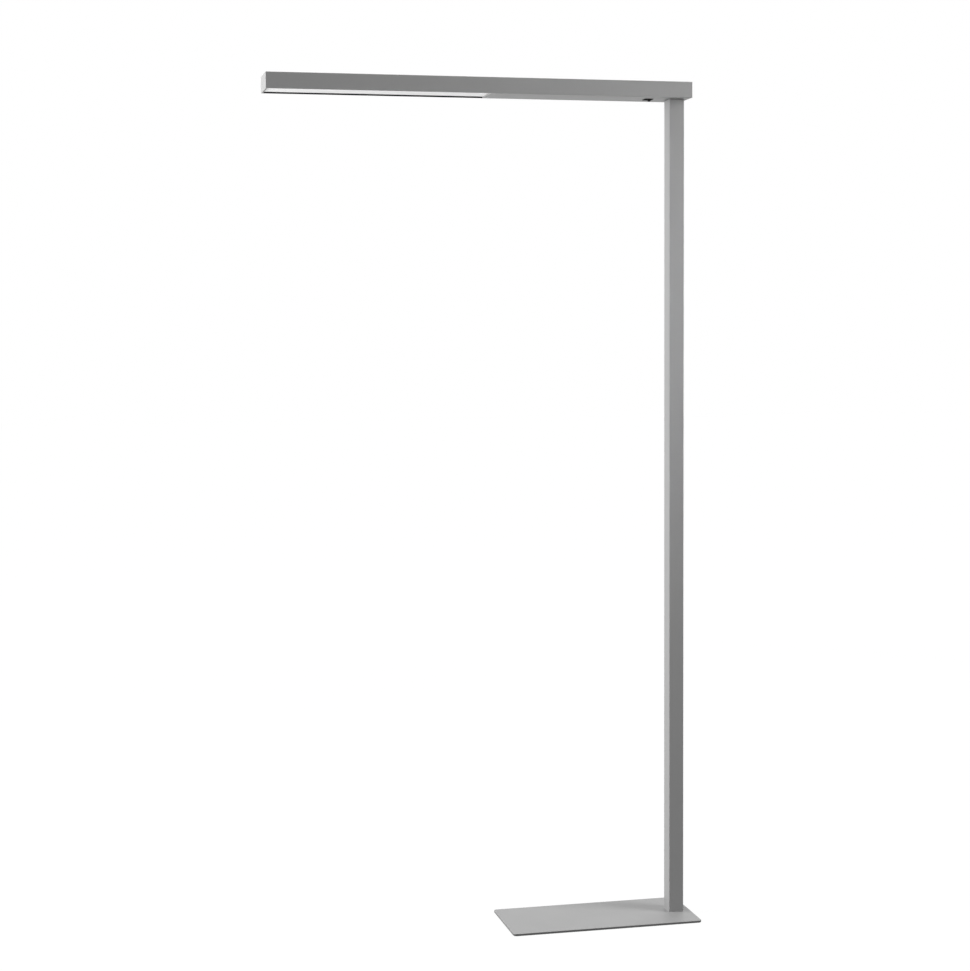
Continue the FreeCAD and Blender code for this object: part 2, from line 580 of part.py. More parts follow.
def make_head_housing():
    """Extruded section: two side walls, a web between them, ledges for the panels, screw ports."""
    body = new_body("head_housing", x=HOUSING_X, z=UNDERSIDE_Z)
    outer, inner, ledge = "HeadDepth / 2", INNER_HALF, f"({INNER_HALF} - LedgeWidth)"
    port, port_foot = f"({INNER_HALF} - PortSize)", "WebHeight - PortSize"
    top, web, web_top = "HeadHeight", "WebHeight", "WebHeight + WebThickness"
    upper_seat = "HeadHeight - UpperPanelDrop - UpperPanelThickness"
    upper_foot = f"{upper_seat} - UpperLedgeThickness"
    lower_foot, lower_top = "CoverThickness", "CoverThickness + LedgeThickness"
    above = [(outer, top), (inner, top), (inner, upper_seat), (ledge, upper_seat), (ledge, upper_foot),
             (inner, upper_foot), (inner, web_top)]
    below = [(port, web), (port, port_foot), (inner, port_foot), (inner, lower_top), (ledge, lower_top),
             (ledge, lower_foot), (inner, lower_foot), (inner, "0"), (outer, "0")]

    def mirrored(points):
        return [(f"-{y}", z) for y, z in reversed(points)]

    sketch = sketch_on(body, "YZ_Plane")
    add_outline(sketch, above + mirrored(above) + mirrored(below) + below)
    profile = pad(body, sketch, HOUSING_LENGTH)
    half_depth = size("HeadDepth") / 2
    half_height = size("HeadHeight") / 2

    def on_outer_corner(edge):
        middle = edge.BoundBox.Center
        return abs(middle.y) > half_depth - TOUCH and abs(middle.z - half_height) > half_height - TOUCH

    dress(body, "Fillet", profile, lambda edge: along(edge, X_AXIS) and on_outer_corner(edge), "Radius",
          "HeadEdge")
    screw_hole = primitive(body, "SubtractiveCylinder", turn=TO_POLE_END, y=f"-{PORT_Y}", z=PORT_Z,
                           Radius="CapScrewRadius + ThreadPlay", Height=HOUSING_LENGTH)
    row_of(body, [screw_hole], ("Y_Axis",), (f"2 * {PORT_Y}",))

    def web_holes(radius, x, y, roles=(), lengths=()):
        hole = primitive(body, "SubtractiveCylinder", Radius=radius, Height="2 * WebThickness",
                         x=f"{x} - {HOUSING_X}", y=y, z="WebHeight - WebThickness / 2")
        if roles:
            row_of(body, [hole], roles, lengths)

    web_holes("HeadScrewRadius + ScrewPlay", f"{POLE_X} - HeadScrewPitchX / 2", "-HeadScrewPitchY / 2",
              ("X_Axis", "Y_Axis"), ("HeadScrewPitchX", "HeadScrewPitchY"))
    web_holes("StandoffSpigot", f"{COVER_X} + CoverScrewInset", "-CoverScrewPitchY / 2",
              ("X_Axis", "Y_Axis"), (COVER_SCREW_PITCH_X, "CoverScrewPitchY"))
    web_holes("GearScrewRadius + ThreadPlay", f"{DRIVER_X} + DriverFoot / 2", "DriverOffsetY",
              ("X_Axis",), (f"{DRIVER_FULL} - DriverFoot",))
    web_holes("GearScrewRadius + ThreadPlay", f"{TERMINAL_X} + DriverFoot / 2", "TerminalOffsetY")
    web_holes("WebGrommetNeck / 2", f"{DRIVER_X} - LeadReach", "DriverOffsetY + LeadSpacing / 2")


def make_end_cap(label, x, backwards, turn):
    """Flat plate over one end; backwards means that the housing is on its -X side."""
    body = new_body(label, x=x, z=UNDERSIDE_Z)
    sketch = sketch_on(body, "YZ_Plane", y="HeadHeight / 2")
    add_rect(sketch, "HeadDepth", "HeadHeight")
    plate = pad(body, sketch, "CapThickness", backwards)

    def on_outer_face(edge):
        return abs(edge.BoundBox.XMin) < TOUCH and abs(edge.BoundBox.XMax) < TOUCH

    rounded = dress(body, "Fillet", plate, lambda edge: along(edge, X_AXIS), "Radius", "HeadEdge")
    dress(body, "Fillet", rounded, on_outer_face, "Radius", "HeadEdge")
    seat = countersink(body, turn, "CapScrewRadius", "CapScrewRadius", "CapThickness",
                       y=f"-{PORT_Y}", z=PORT_Z)
    row_of(body, seat, ("Y_Axis",), (f"2 * {PORT_Y}",))


def make_end_cap_screws():
    body = new_body("end_cap_screws", x=f"{FREE_END_X} + HeadLength / 2", z=UNDERSIDE_Z)
    for end, turn in (("-HeadLength / 2", TO_POLE_END), ("HeadLength / 2", TO_FREE_END)):
        place = {"x": end, "y": f"-{PORT_Y}", "z": PORT_Z}
        screw = countersunk_screw(body, turn, "CapScrewRadius", "CapScrewLength", "CapScrewRadius", **place)
        screw.append(hex_socket(body, turn, "2 * CapScrewRadius", "CapScrewRadius", **place))
        row_of(body, screw, ("Y_Axis",), (f"2 * {PORT_Y}",))


# ---------------------------------------------------------------- panels of the head

def flat_panel(label, x, z, length, width, thickness, y="0", broken_edges=False):
    """Flat plate from x towards the pole, centred on y."""
    body = new_body(label, x=x, y=y, z=z)
    sketch = sketch_on(body, "XY_Plane", x=f"{length} / 2")
    add_rect(sketch, length, width)
    plate = pad(body, sketch, thickness)
    if broken_edges:
        dress(body, "Chamfer", plate, lambda edge: not along(edge, Z_AXIS), "Size", "PanelEdge")
    return body


def make_bottom_cover():
    body = flat_panel("bottom_cover", COVER_X, UNDERSIDE_Z, f"({COVER_LENGTH} - EndPlay)", PANEL_WIDTH,
                      "CoverThickness", broken_edges=True)
    window = sketch_on(body, "XY_Plane", x=f"{POLE_X} - {COVER_X}", z="CoverThickness")
    add_rect(window, "PoleWidth - 2 * BossInset + 2 * BossPlay", "PoleDepth - 2 * BossInset + 2 * BossPlay")
    pocket(body, window, "CoverThickness")
    button = sketch_on(body, "XY_Plane", x=f"{BUTTON_X} - {COVER_X}", z="CoverThickness")
    add_circle(button, "2 * (BarrelRadius + BarrelPlay)")
    pocket(body, button, "CoverThickness")
    seat = countersink(body, None, "CoverScrewRadius", "CoverScrewRadius", "CoverThickness",
                       x="CoverScrewInset", y="-CoverScrewPitchY / 2")
    row_of(body, seat, ("X_Axis", "Y_Axis"), (COVER_SCREW_PITCH_X, "CoverScrewPitchY"))


def make_cover_screws():
    body = new_body("cover_screws", x=COVER_X, z=UNDERSIDE_Z)
    place = {"x": "CoverScrewInset", "y": "-CoverScrewPitchY / 2"}
    screw = countersunk_screw(body, None, "CoverScrewRadius", "CoverScrewLength", "CoverScrewRadius", **place)
    screw.append(hex_socket(body, None, "2 * CoverScrewRadius", "CoverScrewRadius", **place))
    row_of(body, screw, ("X_Axis", "Y_Axis"), (COVER_SCREW_PITCH_X, "CoverScrewPitchY"))


def make_cover_standoffs():
    body = new_body("cover_standoffs", x=COVER_X, z=COVER_TOP_Z)
    place = {"x": "CoverScrewInset", "y": "-CoverScrewPitchY / 2"}
    post = primitive(body, "AdditivePrism", Polygon="6", Circumradius="StandoffFlats / sqrt(3)",
                     Height="WebHeight - CoverThickness", **place)
    spigot = primitive(body, "AdditiveCylinder", Radius="StandoffSpigot", Height="WebThickness",
                       z="WebHeight - CoverThickness", **place)
    thread = primitive(body, "SubtractiveCylinder", Radius="CoverScrewRadius + ThreadPlay",
                       Height="CoverScrewLength", **place)
    row_of(body, [post, spigot, thread], ("X_Axis", "Y_Axis"), (COVER_SCREW_PITCH_X, "CoverScrewPitchY"))


def make_divider():
    """Upright wall on the end of the bottom cover, with a hole for the lead below the web."""
    body = new_body("divider", x=COVER_X, z=COVER_TOP_Z)
    sketch = sketch_on(body, "YZ_Plane", y="(WebHeight - CoverThickness) / 2")
    add_rect(sketch, f"2 * ({INNER_HALF} - PortSize - PanelPlay)", "WebHeight - CoverThickness")
    pad(body, sketch, "DividerThickness")
    primitive(body, "SubtractiveCylinder", turn=TO_POLE_END, Radius="LeadRadius + LeadPlay",
              Height="DividerThickness", y="DriverOffsetY - LeadSpacing / 2",
              z="WebHeight - CoverThickness - LeadDrop")


def make_direct_diffuser():
    """Opal tray: the face hangs between the lower ledges, the flanges lie on them."""
    body = new_body("direct_diffuser", x=f"{HOUSING_X} + EndPlay", z=COVER_TOP_Z)
    face = f"({INNER_HALF} - LedgeWidth - PanelPlay)"
    flange = f"({INNER_HALF} - PanelPlay)"
    lip = f"({INNER_HALF} - 2 * LedgeWidth + PanelPlay)"
    seat, rim = "LedgeThickness", "LedgeThickness + DiffuserFlange"
    half = [(face, "0"), (face, seat), (flange, seat), (flange, rim), (lip, rim), (lip, "DiffuserFace")]
    sketch = sketch_on(body, "YZ_Plane")
    add_outline(sketch, half + [(f"-{y}", z) for y, z in reversed(half)])
    pad(body, sketch, DIRECT_PANEL)


def make_diffuser_seal(label, side):
    """Black strip under one lower ledge; side is -1 for the front and 1 for the rear."""
    flat_panel(label, f"{HOUSING_X} + EndPlay", f"{COVER_TOP_Z} - SealHeight", DIRECT_PANEL, "LedgeWidth",
               "SealHeight", y=f"{side} * ({INNER_HALF} - LedgeWidth / 2)")


def make_upper_panels():
    flat_panel("indirect_diffuser", f"{HOUSING_X} + EndPlay", UPPER_PANEL_Z,
               f"({INDIRECT_LENGTH} - 2 * EndPlay)", PANEL_WIDTH, "UpperPanelThickness")
    flat_panel("top_cover", f"{HOUSING_X} + {INDIRECT_LENGTH}", UPPER_PANEL_Z, "(TopCoverLength - EndPlay)",
               PANEL_WIDTH, "UpperPanelThickness", broken_edges=True)


# ---------------------------------------------------------------- light boards

def make_light_board(side, board_z, chip_z, compartment, count):
    """Board and its two rows of chips; the side names both nodes."""
    length = f"({compartment} - 2 * BoardMargin)"
    start = f"{HOUSING_X} + BoardMargin"
    flat_panel(f"{side}_led_board", start, board_z, length, "BoardWidth", "BoardThickness")
    body = new_body(f"{side}_leds", x=start, z=chip_z)
    chip = primitive(body, "AdditiveBox", Length="LedSize", Width="LedSize", Height="LedHeight",
                     x="LedEndMargin", y="-LedRowSpacing / 2 - LedSize / 2")
    row_of(body, [chip], ("X_Axis", "Y_Axis"), (f"{length} - 2 * LedEndMargin - LedSize", "LedRowSpacing"),
           (count, "2"))


# ---------------------------------------------------------------- control gear

def make_led_driver():
    body = new_body("led_driver", x=DRIVER_X, y="DriverOffsetY", z=WEB_Z)
    case = sketch_on(body, "XY_Plane", x=f"{DRIVER_FULL} / 2")
    add_rect(case, "DriverLength", "DriverWidth")
    solid = pad(body, case, "DriverHeight", backwards=True)
    half_height = size("DriverHeight") / 2
    dress(body, "Fillet", solid, lambda edge: along(edge, X_AXIS) and edge.BoundBox.ZMax < -half_height,
          "Radius", "DriverEdge")
    feet = sketch_on(body, "XY_Plane", x=f"{DRIVER_FULL} / 2")
    add_rect(feet, DRIVER_FULL, "DriverWidth")
    pad(body, feet, "FootThickness", backwards=True)
    hole = primitive(body, "SubtractiveCylinder", turn=TO_BELOW, Radius="GearScrewRadius + ScrewPlay",
                     Height="FootThickness", x="DriverFoot / 2")
    row_of(body, [hole], ("X_Axis",), (f"{DRIVER_FULL} - DriverFoot",))


def make_mains_terminal():
    body = new_body("mains_terminal", x=TERMINAL_X, y="TerminalOffsetY", z=WEB_Z)
    block = sketch_on(body, "XY_Plane", x="DriverFoot + TerminalLength / 2")
    add_rect(block, "TerminalLength", "TerminalWidth")
    pad(body, block, "TerminalHeight", backwards=True)
    foot = sketch_on(body, "XY_Plane", x="(DriverFoot + TerminalLength) / 2")
    add_rect(foot, "DriverFoot + TerminalLength", "TerminalWidth")
    pad(body, foot, "FootThickness", backwards=True)
    primitive(body, "SubtractiveCylinder", turn=TO_BELOW, Radius="GearScrewRadius + ScrewPlay",
              Height="FootThickness", x="DriverFoot / 2")


def gear_screw(label, x, y):
    """Pan-head screw from below through a foot into the web."""
    body = new_body(label, x=f"{x} + DriverFoot / 2", y=y, z=f"{WEB_Z} - FootThickness")
    screw = cap_screw(body, "GearScrewHead", "GearScrewHeadHeight", "GearScrewRadius",
                      "FootThickness + WebThickness")
    return body, screw


def make_gear_screws():
    body, screw = gear_screw("driver_screws", DRIVER_X, "DriverOffsetY")
    row_of(body, screw, ("X_Axis",), (f"{DRIVER_FULL} - DriverFoot",))
    gear_screw("terminal_screw", TERMINAL_X, "TerminalOffsetY")


def make_web_grommet():
    body = new_body("web_grommet", x=f"{DRIVER_X} - LeadReach", y="DriverOffsetY + LeadSpacing / 2", z=WEB_Z)
    primitive(body, "AdditiveCylinder", Radius="WebGrommetNeck / 2 - ThreadPlay", Height="WebThickness")
    primitive(body, "AdditiveCylinder", turn=TO_BELOW, Radius="WebGrommetFlange / 2",
              Height="WebGrommetFlangeThickness")
    primitive(body, "SubtractiveCylinder", Radius="LeadRadius + LeadPlay",
              Height="WebThickness + WebGrommetFlangeThickness", z="-WebGrommetFlangeThickness")


# ---------------------------------------------------------------- push button

def make_button_bezel():
    """Plate with rounded corners under the cover, and the hollow barrel that stands on it."""
    body = new_body("button_bezel", x=BUTTON_X, z=UNDERSIDE_Z)
    outline = sketch_on(body, "XY_Plane", x="-BezelOffset")
    add_rect(outline, "BezelLength", "BezelDepth")
    plate = pad(body, outline, "BezelThickness", backwards=True)
    rounded = dress(body, "Fillet", plate, lambda edge: along(edge, Z_AXIS), "Radius", "BezelCorner")
    bottom = -size("BezelThickness")
    dress(body, "Fillet", rounded, lambda edge: edge.BoundBox.ZMax < bottom + TOUCH, "Radius", "BezelEdge")
    primitive(body, "AdditiveCylinder", Radius="BarrelRadius", Height="BarrelLength")
    primitive(body, "SubtractiveCylinder", Radius="BarrelBore", Height=f"BarrelLength - {CHAMBER_FLOOR}",
              z=CHAMBER_FLOOR)
    primitive(body, "SubtractiveCylinder", Radius="PlungerRadius + PlungerPlay", Height="GuideThickness",
              z="-BezelThickness")


def make_button_plunger():
    body = new_body("button_plunger", x=BUTTON_X, z=UNDERSIDE_Z)
    nose = "-BezelThickness - PlungerDrop"
    stem_top = "BarrelLength - ButtonTravel - StemGap"
    sketch = sketch_on(body, "XZ_Plane")
    add_outline(sketch, [("0", nose), ("PlungerRadius", nose), ("PlungerRadius", CHAMBER_FLOOR),
                         ("CollarRadius", CHAMBER_FLOOR), ("CollarRadius", COLLAR_TOP),
                         ("StemRadius", COLLAR_TOP), ("StemRadius", stem_top), ("0", stem_top)])
    turned = revolve(body, sketch, "Z_Axis")
    tip = -size("BezelThickness") - size("PlungerDrop")
    dress(body, "Fillet", turned, lambda edge: edge.BoundBox.ZMax < tip + TOUCH
          and edge.BoundBox.XLength > size("PlungerRadius"), "Radius", "PlungerRound")


def make_button_spring():
    """Return spring between the plunger's collar and the switch body."""
    body = new_body("button_spring", x=BUTTON_X, z=f"{UNDERSIDE_Z} + {COLLAR_TOP}")
    wire = sketch_on(body, "XZ_Plane", x="SpringRadius", y="SpringWire")
    add_circle(wire, "2 * SpringWire")
    coil = body.newObject("PartDesign::AdditiveHelix", "button_spring_coil")
    coil.Profile = wire
    coil.ReferenceAxis = (own(body, "Z_Axis"), [""])
    free_height = f"(BarrelLength - {COLLAR_TOP} - 2 * SpringWire)"
    bind(coil, "Pitch", f"{free_height} / SpringTurns")
    bind(coil, "Height", free_height)


def make_switch():
    nut = new_body("switch_nut", x=BUTTON_X, z=COVER_TOP_Z)
    primitive(nut, "AdditivePrism", Polygon="6", Circumradius="NutFlats / sqrt(3)", Height="NutThickness")
    primitive(nut, "SubtractiveCylinder", Radius="BarrelRadius + ThreadPlay", Height="NutThickness")
    switch = new_body("switch_body", x=BUTTON_X, z=f"{UNDERSIDE_Z} + BarrelLength")
    sketch = sketch_on(switch, "XY_Plane")
    add_rect(sketch, "SwitchSize", "SwitchSize")
    block = pad(switch, sketch, "SwitchHeight")
    dress(switch, "Fillet", block, lambda edge: along(edge, Z_AXIS), "Radius", "SwitchEdge")


# ---------------------------------------------------------------- leads

def make_straight_wires():
    """Wires that run straight between the driver and the terminal or the switch."""
    mains = new_body("mains_wires", x=DRIVER_CASE_END, y="TerminalOffsetY",
                     z=f"{COVER_TOP_Z} + (WebHeight - CoverThickness) / 2")
    wire = primitive(mains, "AdditiveCylinder", turn=TO_POLE_END, Radius="WireRadius",
                     Height=f"{TERMINAL_X} + DriverFoot - {DRIVER_CASE_END}", y="-WireSpacing")
    row_of(mains, [wire], ("Y_Axis",), ("2 * WireSpacing",), ("3",))
    switch = new_body("switch_wires", x=DRIVER_CASE_END,
                      y="DriverOffsetY - DriverWidth / 2 + SwitchWireRadius",
                      z=f"{UNDERSIDE_Z} + BarrelLength + SwitchHeight / 2 - SwitchWireSpacing / 2")
    wire = primitive(switch, "AdditiveCylinder", turn=TO_POLE_END, Radius="SwitchWireRadius",
                     Height=f"{BUTTON_X} - SwitchSize / 2 - {DRIVER_CASE_END}")
    row_of(switch, [wire], ("Z_Axis",), ("SwitchWireSpacing",))


def bent_tube(label, corners, bends, radius):
    """Round lead along straight runs joined by tangent arcs, one bend radius per inner corner."""
    edges = []
    start = corners[0]
    for before, corner, after, bend in zip(corners, corners[1:], corners[2:], bends):
        inward = (corner - before).normalize()
        outward = (after - corner).normalize()
        half_turn = inward.getAngle(outward) / 2
        setback = bend * math.tan(half_turn)
        arc_start = corner - inward * setback
        arc_end = corner + outward * setback
        towards_centre = (outward - inward).normalize()
        middle = corner + towards_centre * (bend / math.cos(half_turn) - bend)
        edges.append(Part.LineSegment(start, arc_start).toShape())
        edges.append(Part.Arc(arc_start, middle, arc_end).toShape())
        start = arc_end
    edges.append(Part.LineSegment(start, corners[-1]).toShape())
    section = Part.Wire([Part.makeCircle(radius, corners[0], corners[1] - corners[0])])
    tube = doc.addObject("Part::Feature", label)
    tube.Label = label
    tube.Shape = Part.Wire(edges).makePipeShell([section], True, False)
    tube.Placement = FreeCAD.Placement()
    length = sum(edge.Length for edge in edges)
    expected = math.pi * radius ** 2 * length
    if abs(tube.Shape.Volume - expected) > 0.01 * expected:
        raise RuntimeError(f"{label}: volume {tube.Shape.Volume:.1f} is not {expected:.1f}")
    print(f"{label}: {length:.0f} mm long, bends of {bends} mm")


def base_of(label):
    """Reference point of a placed body."""
    return doc.getObjectsByLabel(label)[0].Placement.Base


def make_bent_leads():
    """Leads that follow the placed bodies they join."""
    inlet = base_of("cord_grommet")
    terminal = base_of("mains_terminal")
    driver = base_of("led_driver")
    cover_top = base_of("bottom_cover").z + size("CoverThickness")
    inside = inlet.y - size("PoleWall") - size("InletFlangeThickness")
    pole_x, pole_y = base_of("pole").x, base_of("pole").y
    level = (cover_top + driver.z) / 2
    terminal_end = terminal.x + size("DriverFoot") + size("TerminalLength")
    bent_tube("pole_cable", [
        Vector(pole_x, inside, inlet.z),
        Vector(pole_x, pole_y, inlet.z),
        Vector(pole_x, pole_y, level),
        Vector(pole_x, terminal.y, level),
        Vector(terminal_end, terminal.y, level),
    ], [size("CableBendFoot"), size("CableBendHead"), size("CableBendHead")], size("CableRadius"))

    case_x = driver.x + size("DriverFoot")
    lead_z = driver.z - size("LeadDrop")
    board_end = base_of("bottom_cover").x - size("BoardMargin") - size("LeadReach")
    board_z = base_of("direct_led_board").z
    for label, side, end_x, end_z in (
        ("direct_lead", -1, board_end, board_z),
        ("indirect_lead", 1, base_of("web_grommet").x, base_of("indirect_led_board").z),
    ):
        y = driver.y + side * size("LeadSpacing") / 2
        bent_tube(label, [Vector(case_x, y, lead_z), Vector(end_x, y, lead_z), Vector(end_x, y, end_z)],
                  [size("LeadBend")], size("LeadRadius"))


# ---------------------------------------------------------------- build, check and write

def make_lamp():
    make_floor_mat()
    make_base_plate()
    make_base_screws()
    make_pole_foot_insert()
    make_pole()
    make_pole_top_insert()
    make_pole_screws()
    make_cord_grommet()
    make_head_gasket()
    make_head_bracket()
    make_head_screws()
    make_head_housing()
    make_end_cap("end_cap_free", FREE_END_X, False, TO_POLE_END)
    make_end_cap("end_cap_pole", HEAD_END_X, True, TO_FREE_END)
    make_end_cap_screws()
    make_bottom_cover()
    make_cover_screws()
    make_cover_standoffs()
    make_divider()
    make_direct_diffuser()
    make_diffuser_seal("diffuser_seal_front", -1)
    make_diffuser_seal("diffuser_seal_rear", 1)
    make_upper_panels()
    make_light_board("direct", f"{WEB_Z} - BoardThickness", f"{WEB_Z} - BoardThickness - LedHeight",
                     DIRECT_LENGTH, "DirectLedCount")
    make_light_board("indirect", WEB_TOP_Z, f"{WEB_TOP_Z} + BoardThickness", INDIRECT_LENGTH,
                     "IndirectLedCount")
    make_led_driver()
    make_mains_terminal()
    make_gear_screws()
    make_web_grommet()
    make_button_bezel()
    make_button_plunger()
    make_button_spring()
    make_switch()
    make_straight_wires()
    doc.recompute()
    make_bent_leads()
    doc.recompute()


def check_and_write():
    for obj in doc.Objects:
        if {"Invalid", "Error"} & set(obj.State):
            raise RuntimeError(f"{obj.Label} did not build: {obj.State}")
    pieces = [obj for obj in doc.Objects if obj.TypeId in ("PartDesign::Body", "Part::Feature")]
    for piece in pieces:
        if piece.Shape.isNull() or not piece.Shape.isValid() or not piece.Shape.Solids:
            raise RuntimeError(f"{piece.Label} has no valid solid")
    os.makedirs("parts", exist_ok=True)
    for piece in pieces:
        piece.Shape.exportStep(f"parts/{piece.Label}.step")
    print(f"{len(pieces)} sub-parts written")


make_lamp()
check_and_write()
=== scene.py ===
"""Office floor lamp: finishes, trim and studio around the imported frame. Metres, +Z up."""
import math
import bmesh
import bpy
from bpy.props import FloatProperty, FloatVectorProperty, PointerProperty
from mathutils import Matrix, Vector


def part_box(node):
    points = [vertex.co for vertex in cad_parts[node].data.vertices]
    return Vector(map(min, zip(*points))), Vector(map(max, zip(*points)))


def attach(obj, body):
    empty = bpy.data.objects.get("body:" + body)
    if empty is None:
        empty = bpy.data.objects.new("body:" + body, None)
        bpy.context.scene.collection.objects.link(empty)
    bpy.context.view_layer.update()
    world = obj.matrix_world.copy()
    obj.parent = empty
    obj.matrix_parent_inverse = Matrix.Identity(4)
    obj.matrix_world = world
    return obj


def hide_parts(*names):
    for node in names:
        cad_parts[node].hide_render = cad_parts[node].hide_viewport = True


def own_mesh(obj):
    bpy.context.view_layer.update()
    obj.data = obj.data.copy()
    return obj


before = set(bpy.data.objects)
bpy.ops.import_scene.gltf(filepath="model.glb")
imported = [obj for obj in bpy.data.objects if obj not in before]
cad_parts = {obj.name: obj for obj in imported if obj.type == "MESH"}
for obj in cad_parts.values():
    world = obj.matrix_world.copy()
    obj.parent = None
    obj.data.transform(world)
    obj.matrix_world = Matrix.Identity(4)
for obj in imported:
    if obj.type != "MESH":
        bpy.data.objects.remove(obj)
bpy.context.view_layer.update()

bl_info = {
    "name": "Office floor lamp",
    "version": (1, 0, 0),
    "blender": (4, 5, 0),
    "location": "3D View > Sidebar > Lamp",
    "description": "Finishes, trim and studio of an office floor lamp",
    "category": "Object",
}

WHITE = (1.0, 1.0, 1.0, 1.0)
Y_AXIS = Vector((0, 1, 0))
Z_AXIS = Vector((0, 0, 1))
MERGE = 1e-6                        # corners nearer than this are joined
SHARP = math.radians(30)            # an edge that turns by more stays sharp
PAINTED_GLOW_END = (-0.76, -0.55)         # X where the lower panel's painted glow is brightest, and where that has faded


# ---------------------------------------------------------------- settings

class LampFinish(bpy.types.PropertyGroup):
    """Colours and surface sizes of the lamp."""
    paint: FloatVectorProperty(name="Paint", description="Silver-grey powder coat", subtype="COLOR",
                               size=3, min=0, max=1, default=(0.36, 0.36, 0.36))
    paint_roughness: FloatProperty(name="Paint roughness", description="Satin of the powder coat",
                                   subtype="FACTOR", min=0, max=1, default=0.42)
    paint_grain: FloatProperty(name="Paint grain", description="Size of the powder coat's bumps",
                               subtype="DISTANCE", unit="LENGTH", default=0.0009)
    worn_edge: FloatProperty(name="Worn edge", description="How much lighter the coat is on rounded edges",
                             subtype="FACTOR", min=0, max=1, default=0.12)
    dust: FloatProperty(name="Dust", description="Thin dust on painted faces that look up",
                        subtype="FACTOR", min=0, max=1, default=0.03)
    # Painted shade: the base plate's upright sides are darkened to this share of the coat.
    painted_side_shade: FloatProperty(name="Painted side shade", description="Share of the paint's tone on the plate's edges",
                            subtype="FACTOR", min=0, max=1, default=0.45)
    opal: FloatVectorProperty(name="Opal", description="Lower opal panel of the head", subtype="COLOR",
                              size=3, min=0, max=1, default=(0.80, 0.80, 0.80))
    opal_top: FloatVectorProperty(name="Opal on top", description="Upper opal panel of the head",
                                  subtype="COLOR", size=3, min=0, max=1, default=(0.66, 0.66, 0.66))
    # Painted light: the lower panel's glow stands in for light falling on it, with brighter lines and a
    # brighter free end.
    painted_glow: FloatProperty(name="Glow", description="Soft light that the lower panel gives", min=0, max=2,
                        default=0.33)
    painted_glow_row: FloatProperty(name="Glow row", description="Lower panel's middle to its brighter lines",
                            subtype="DISTANCE", unit="LENGTH", default=0.028)
    chip_size: FloatProperty(name="Chip size", description="Side of a chip under the upper panel",
                             subtype="DISTANCE", unit="LENGTH", default=0.003)
    black: FloatVectorProperty(name="Black", description="Moulded black pieces", subtype="COLOR",
                               size=3, min=0, max=1, default=(0.010, 0.010, 0.010))


class LampTrim(bpy.types.PropertyGroup):
    """Sizes of the pieces that are modelled as meshes."""
    pip_pitch: FloatProperty(name="Pip pitch", description="From pip to pip under the mat",
                             subtype="DISTANCE", unit="LENGTH", default=0.0115)
    pip_radius: FloatProperty(name="Pip radius", description="Pip at its root", subtype="DISTANCE",
                              unit="LENGTH", default=0.0032)
    pip_height: FloatProperty(name="Pip height", description="Pip below the sheet of the mat",
                              subtype="DISTANCE", unit="LENGTH", default=0.0005)
    pip_room: FloatProperty(name="Pip room", description="Kept free round the screws, past a pip's width",
                            subtype="DISTANCE", unit="LENGTH", default=0.002)
    grommet_bore: FloatProperty(name="Grommet bore", description="Hole for the cord",
                                subtype="DISTANCE", unit="LENGTH", default=0.0075)
    grommet_neck: FloatProperty(name="Grommet neck", description="Groove that sits in the pole",
                                subtype="DISTANCE", unit="LENGTH", default=0.0119)
    pole_wall: FloatProperty(name="Pole wall", description="Wall in the grommet's groove",
                             subtype="DISTANCE", unit="LENGTH", default=0.002)
    nose_dish: FloatProperty(name="Nose dish", description="Hollow in the push button's face",
                             subtype="DISTANCE", unit="LENGTH", default=0.0004)


class LampStudio(bpy.types.PropertyGroup):
    """Camera, floor and surroundings."""
    lens: FloatProperty(name="Lens", description="Focal length of the camera", unit="CAMERA",
                        default=73.412)
    camera_place: FloatVectorProperty(name="Camera place", description="Camera in the lamp's frame",
                                      subtype="TRANSLATION", unit="LENGTH", size=3,
                                      default=(-1.274507, -4.421637, 1.353439))
    camera_heading: FloatProperty(name="Heading", description="Camera turned to the right of +Y",
                                  subtype="ANGLE", default=math.radians(12.8691))
    camera_dip: FloatProperty(name="Dip", description="Camera turned down from the horizon",
                              subtype="ANGLE", default=math.radians(4.0936))
    camera_roll: FloatProperty(name="Roll", description="Camera turned about its axis",
                               subtype="ANGLE", default=math.radians(-0.3532))
    room: FloatProperty(name="Room light", description="Grey of the surroundings that light the lamp",
                        min=0, default=0.02)
    floor_size: FloatProperty(name="Floor", description="Side of the floor", unit="LENGTH",
                              subtype="DISTANCE", default=60.0)
    floor_bounce: FloatProperty(name="Floor bounce", description="Grey of the floor that lights the lamp",
                                subtype="FACTOR", min=0, max=1, default=0.30)
    floor_shadow: FloatProperty(name="Floor shadow", description="Grey that the lamp's shadow takes away",
                                subtype="FACTOR", min=0, max=1, default=0.06)
    floor_white: FloatProperty(name="Floor white", description="White of the floor near the lamp",
                               subtype="FACTOR", min=0, max=1, default=0.955)
    white_start: FloatProperty(name="White start", description="From the lamp to where the floor lightens",
                               subtype="DISTANCE", unit="LENGTH", default=1.0)
    white_end: FloatProperty(name="White end", description="From the lamp to where the floor is all white",
                             subtype="DISTANCE", unit="LENGTH", default=5.0)


# ---------------------------------------------------------------- node helpers

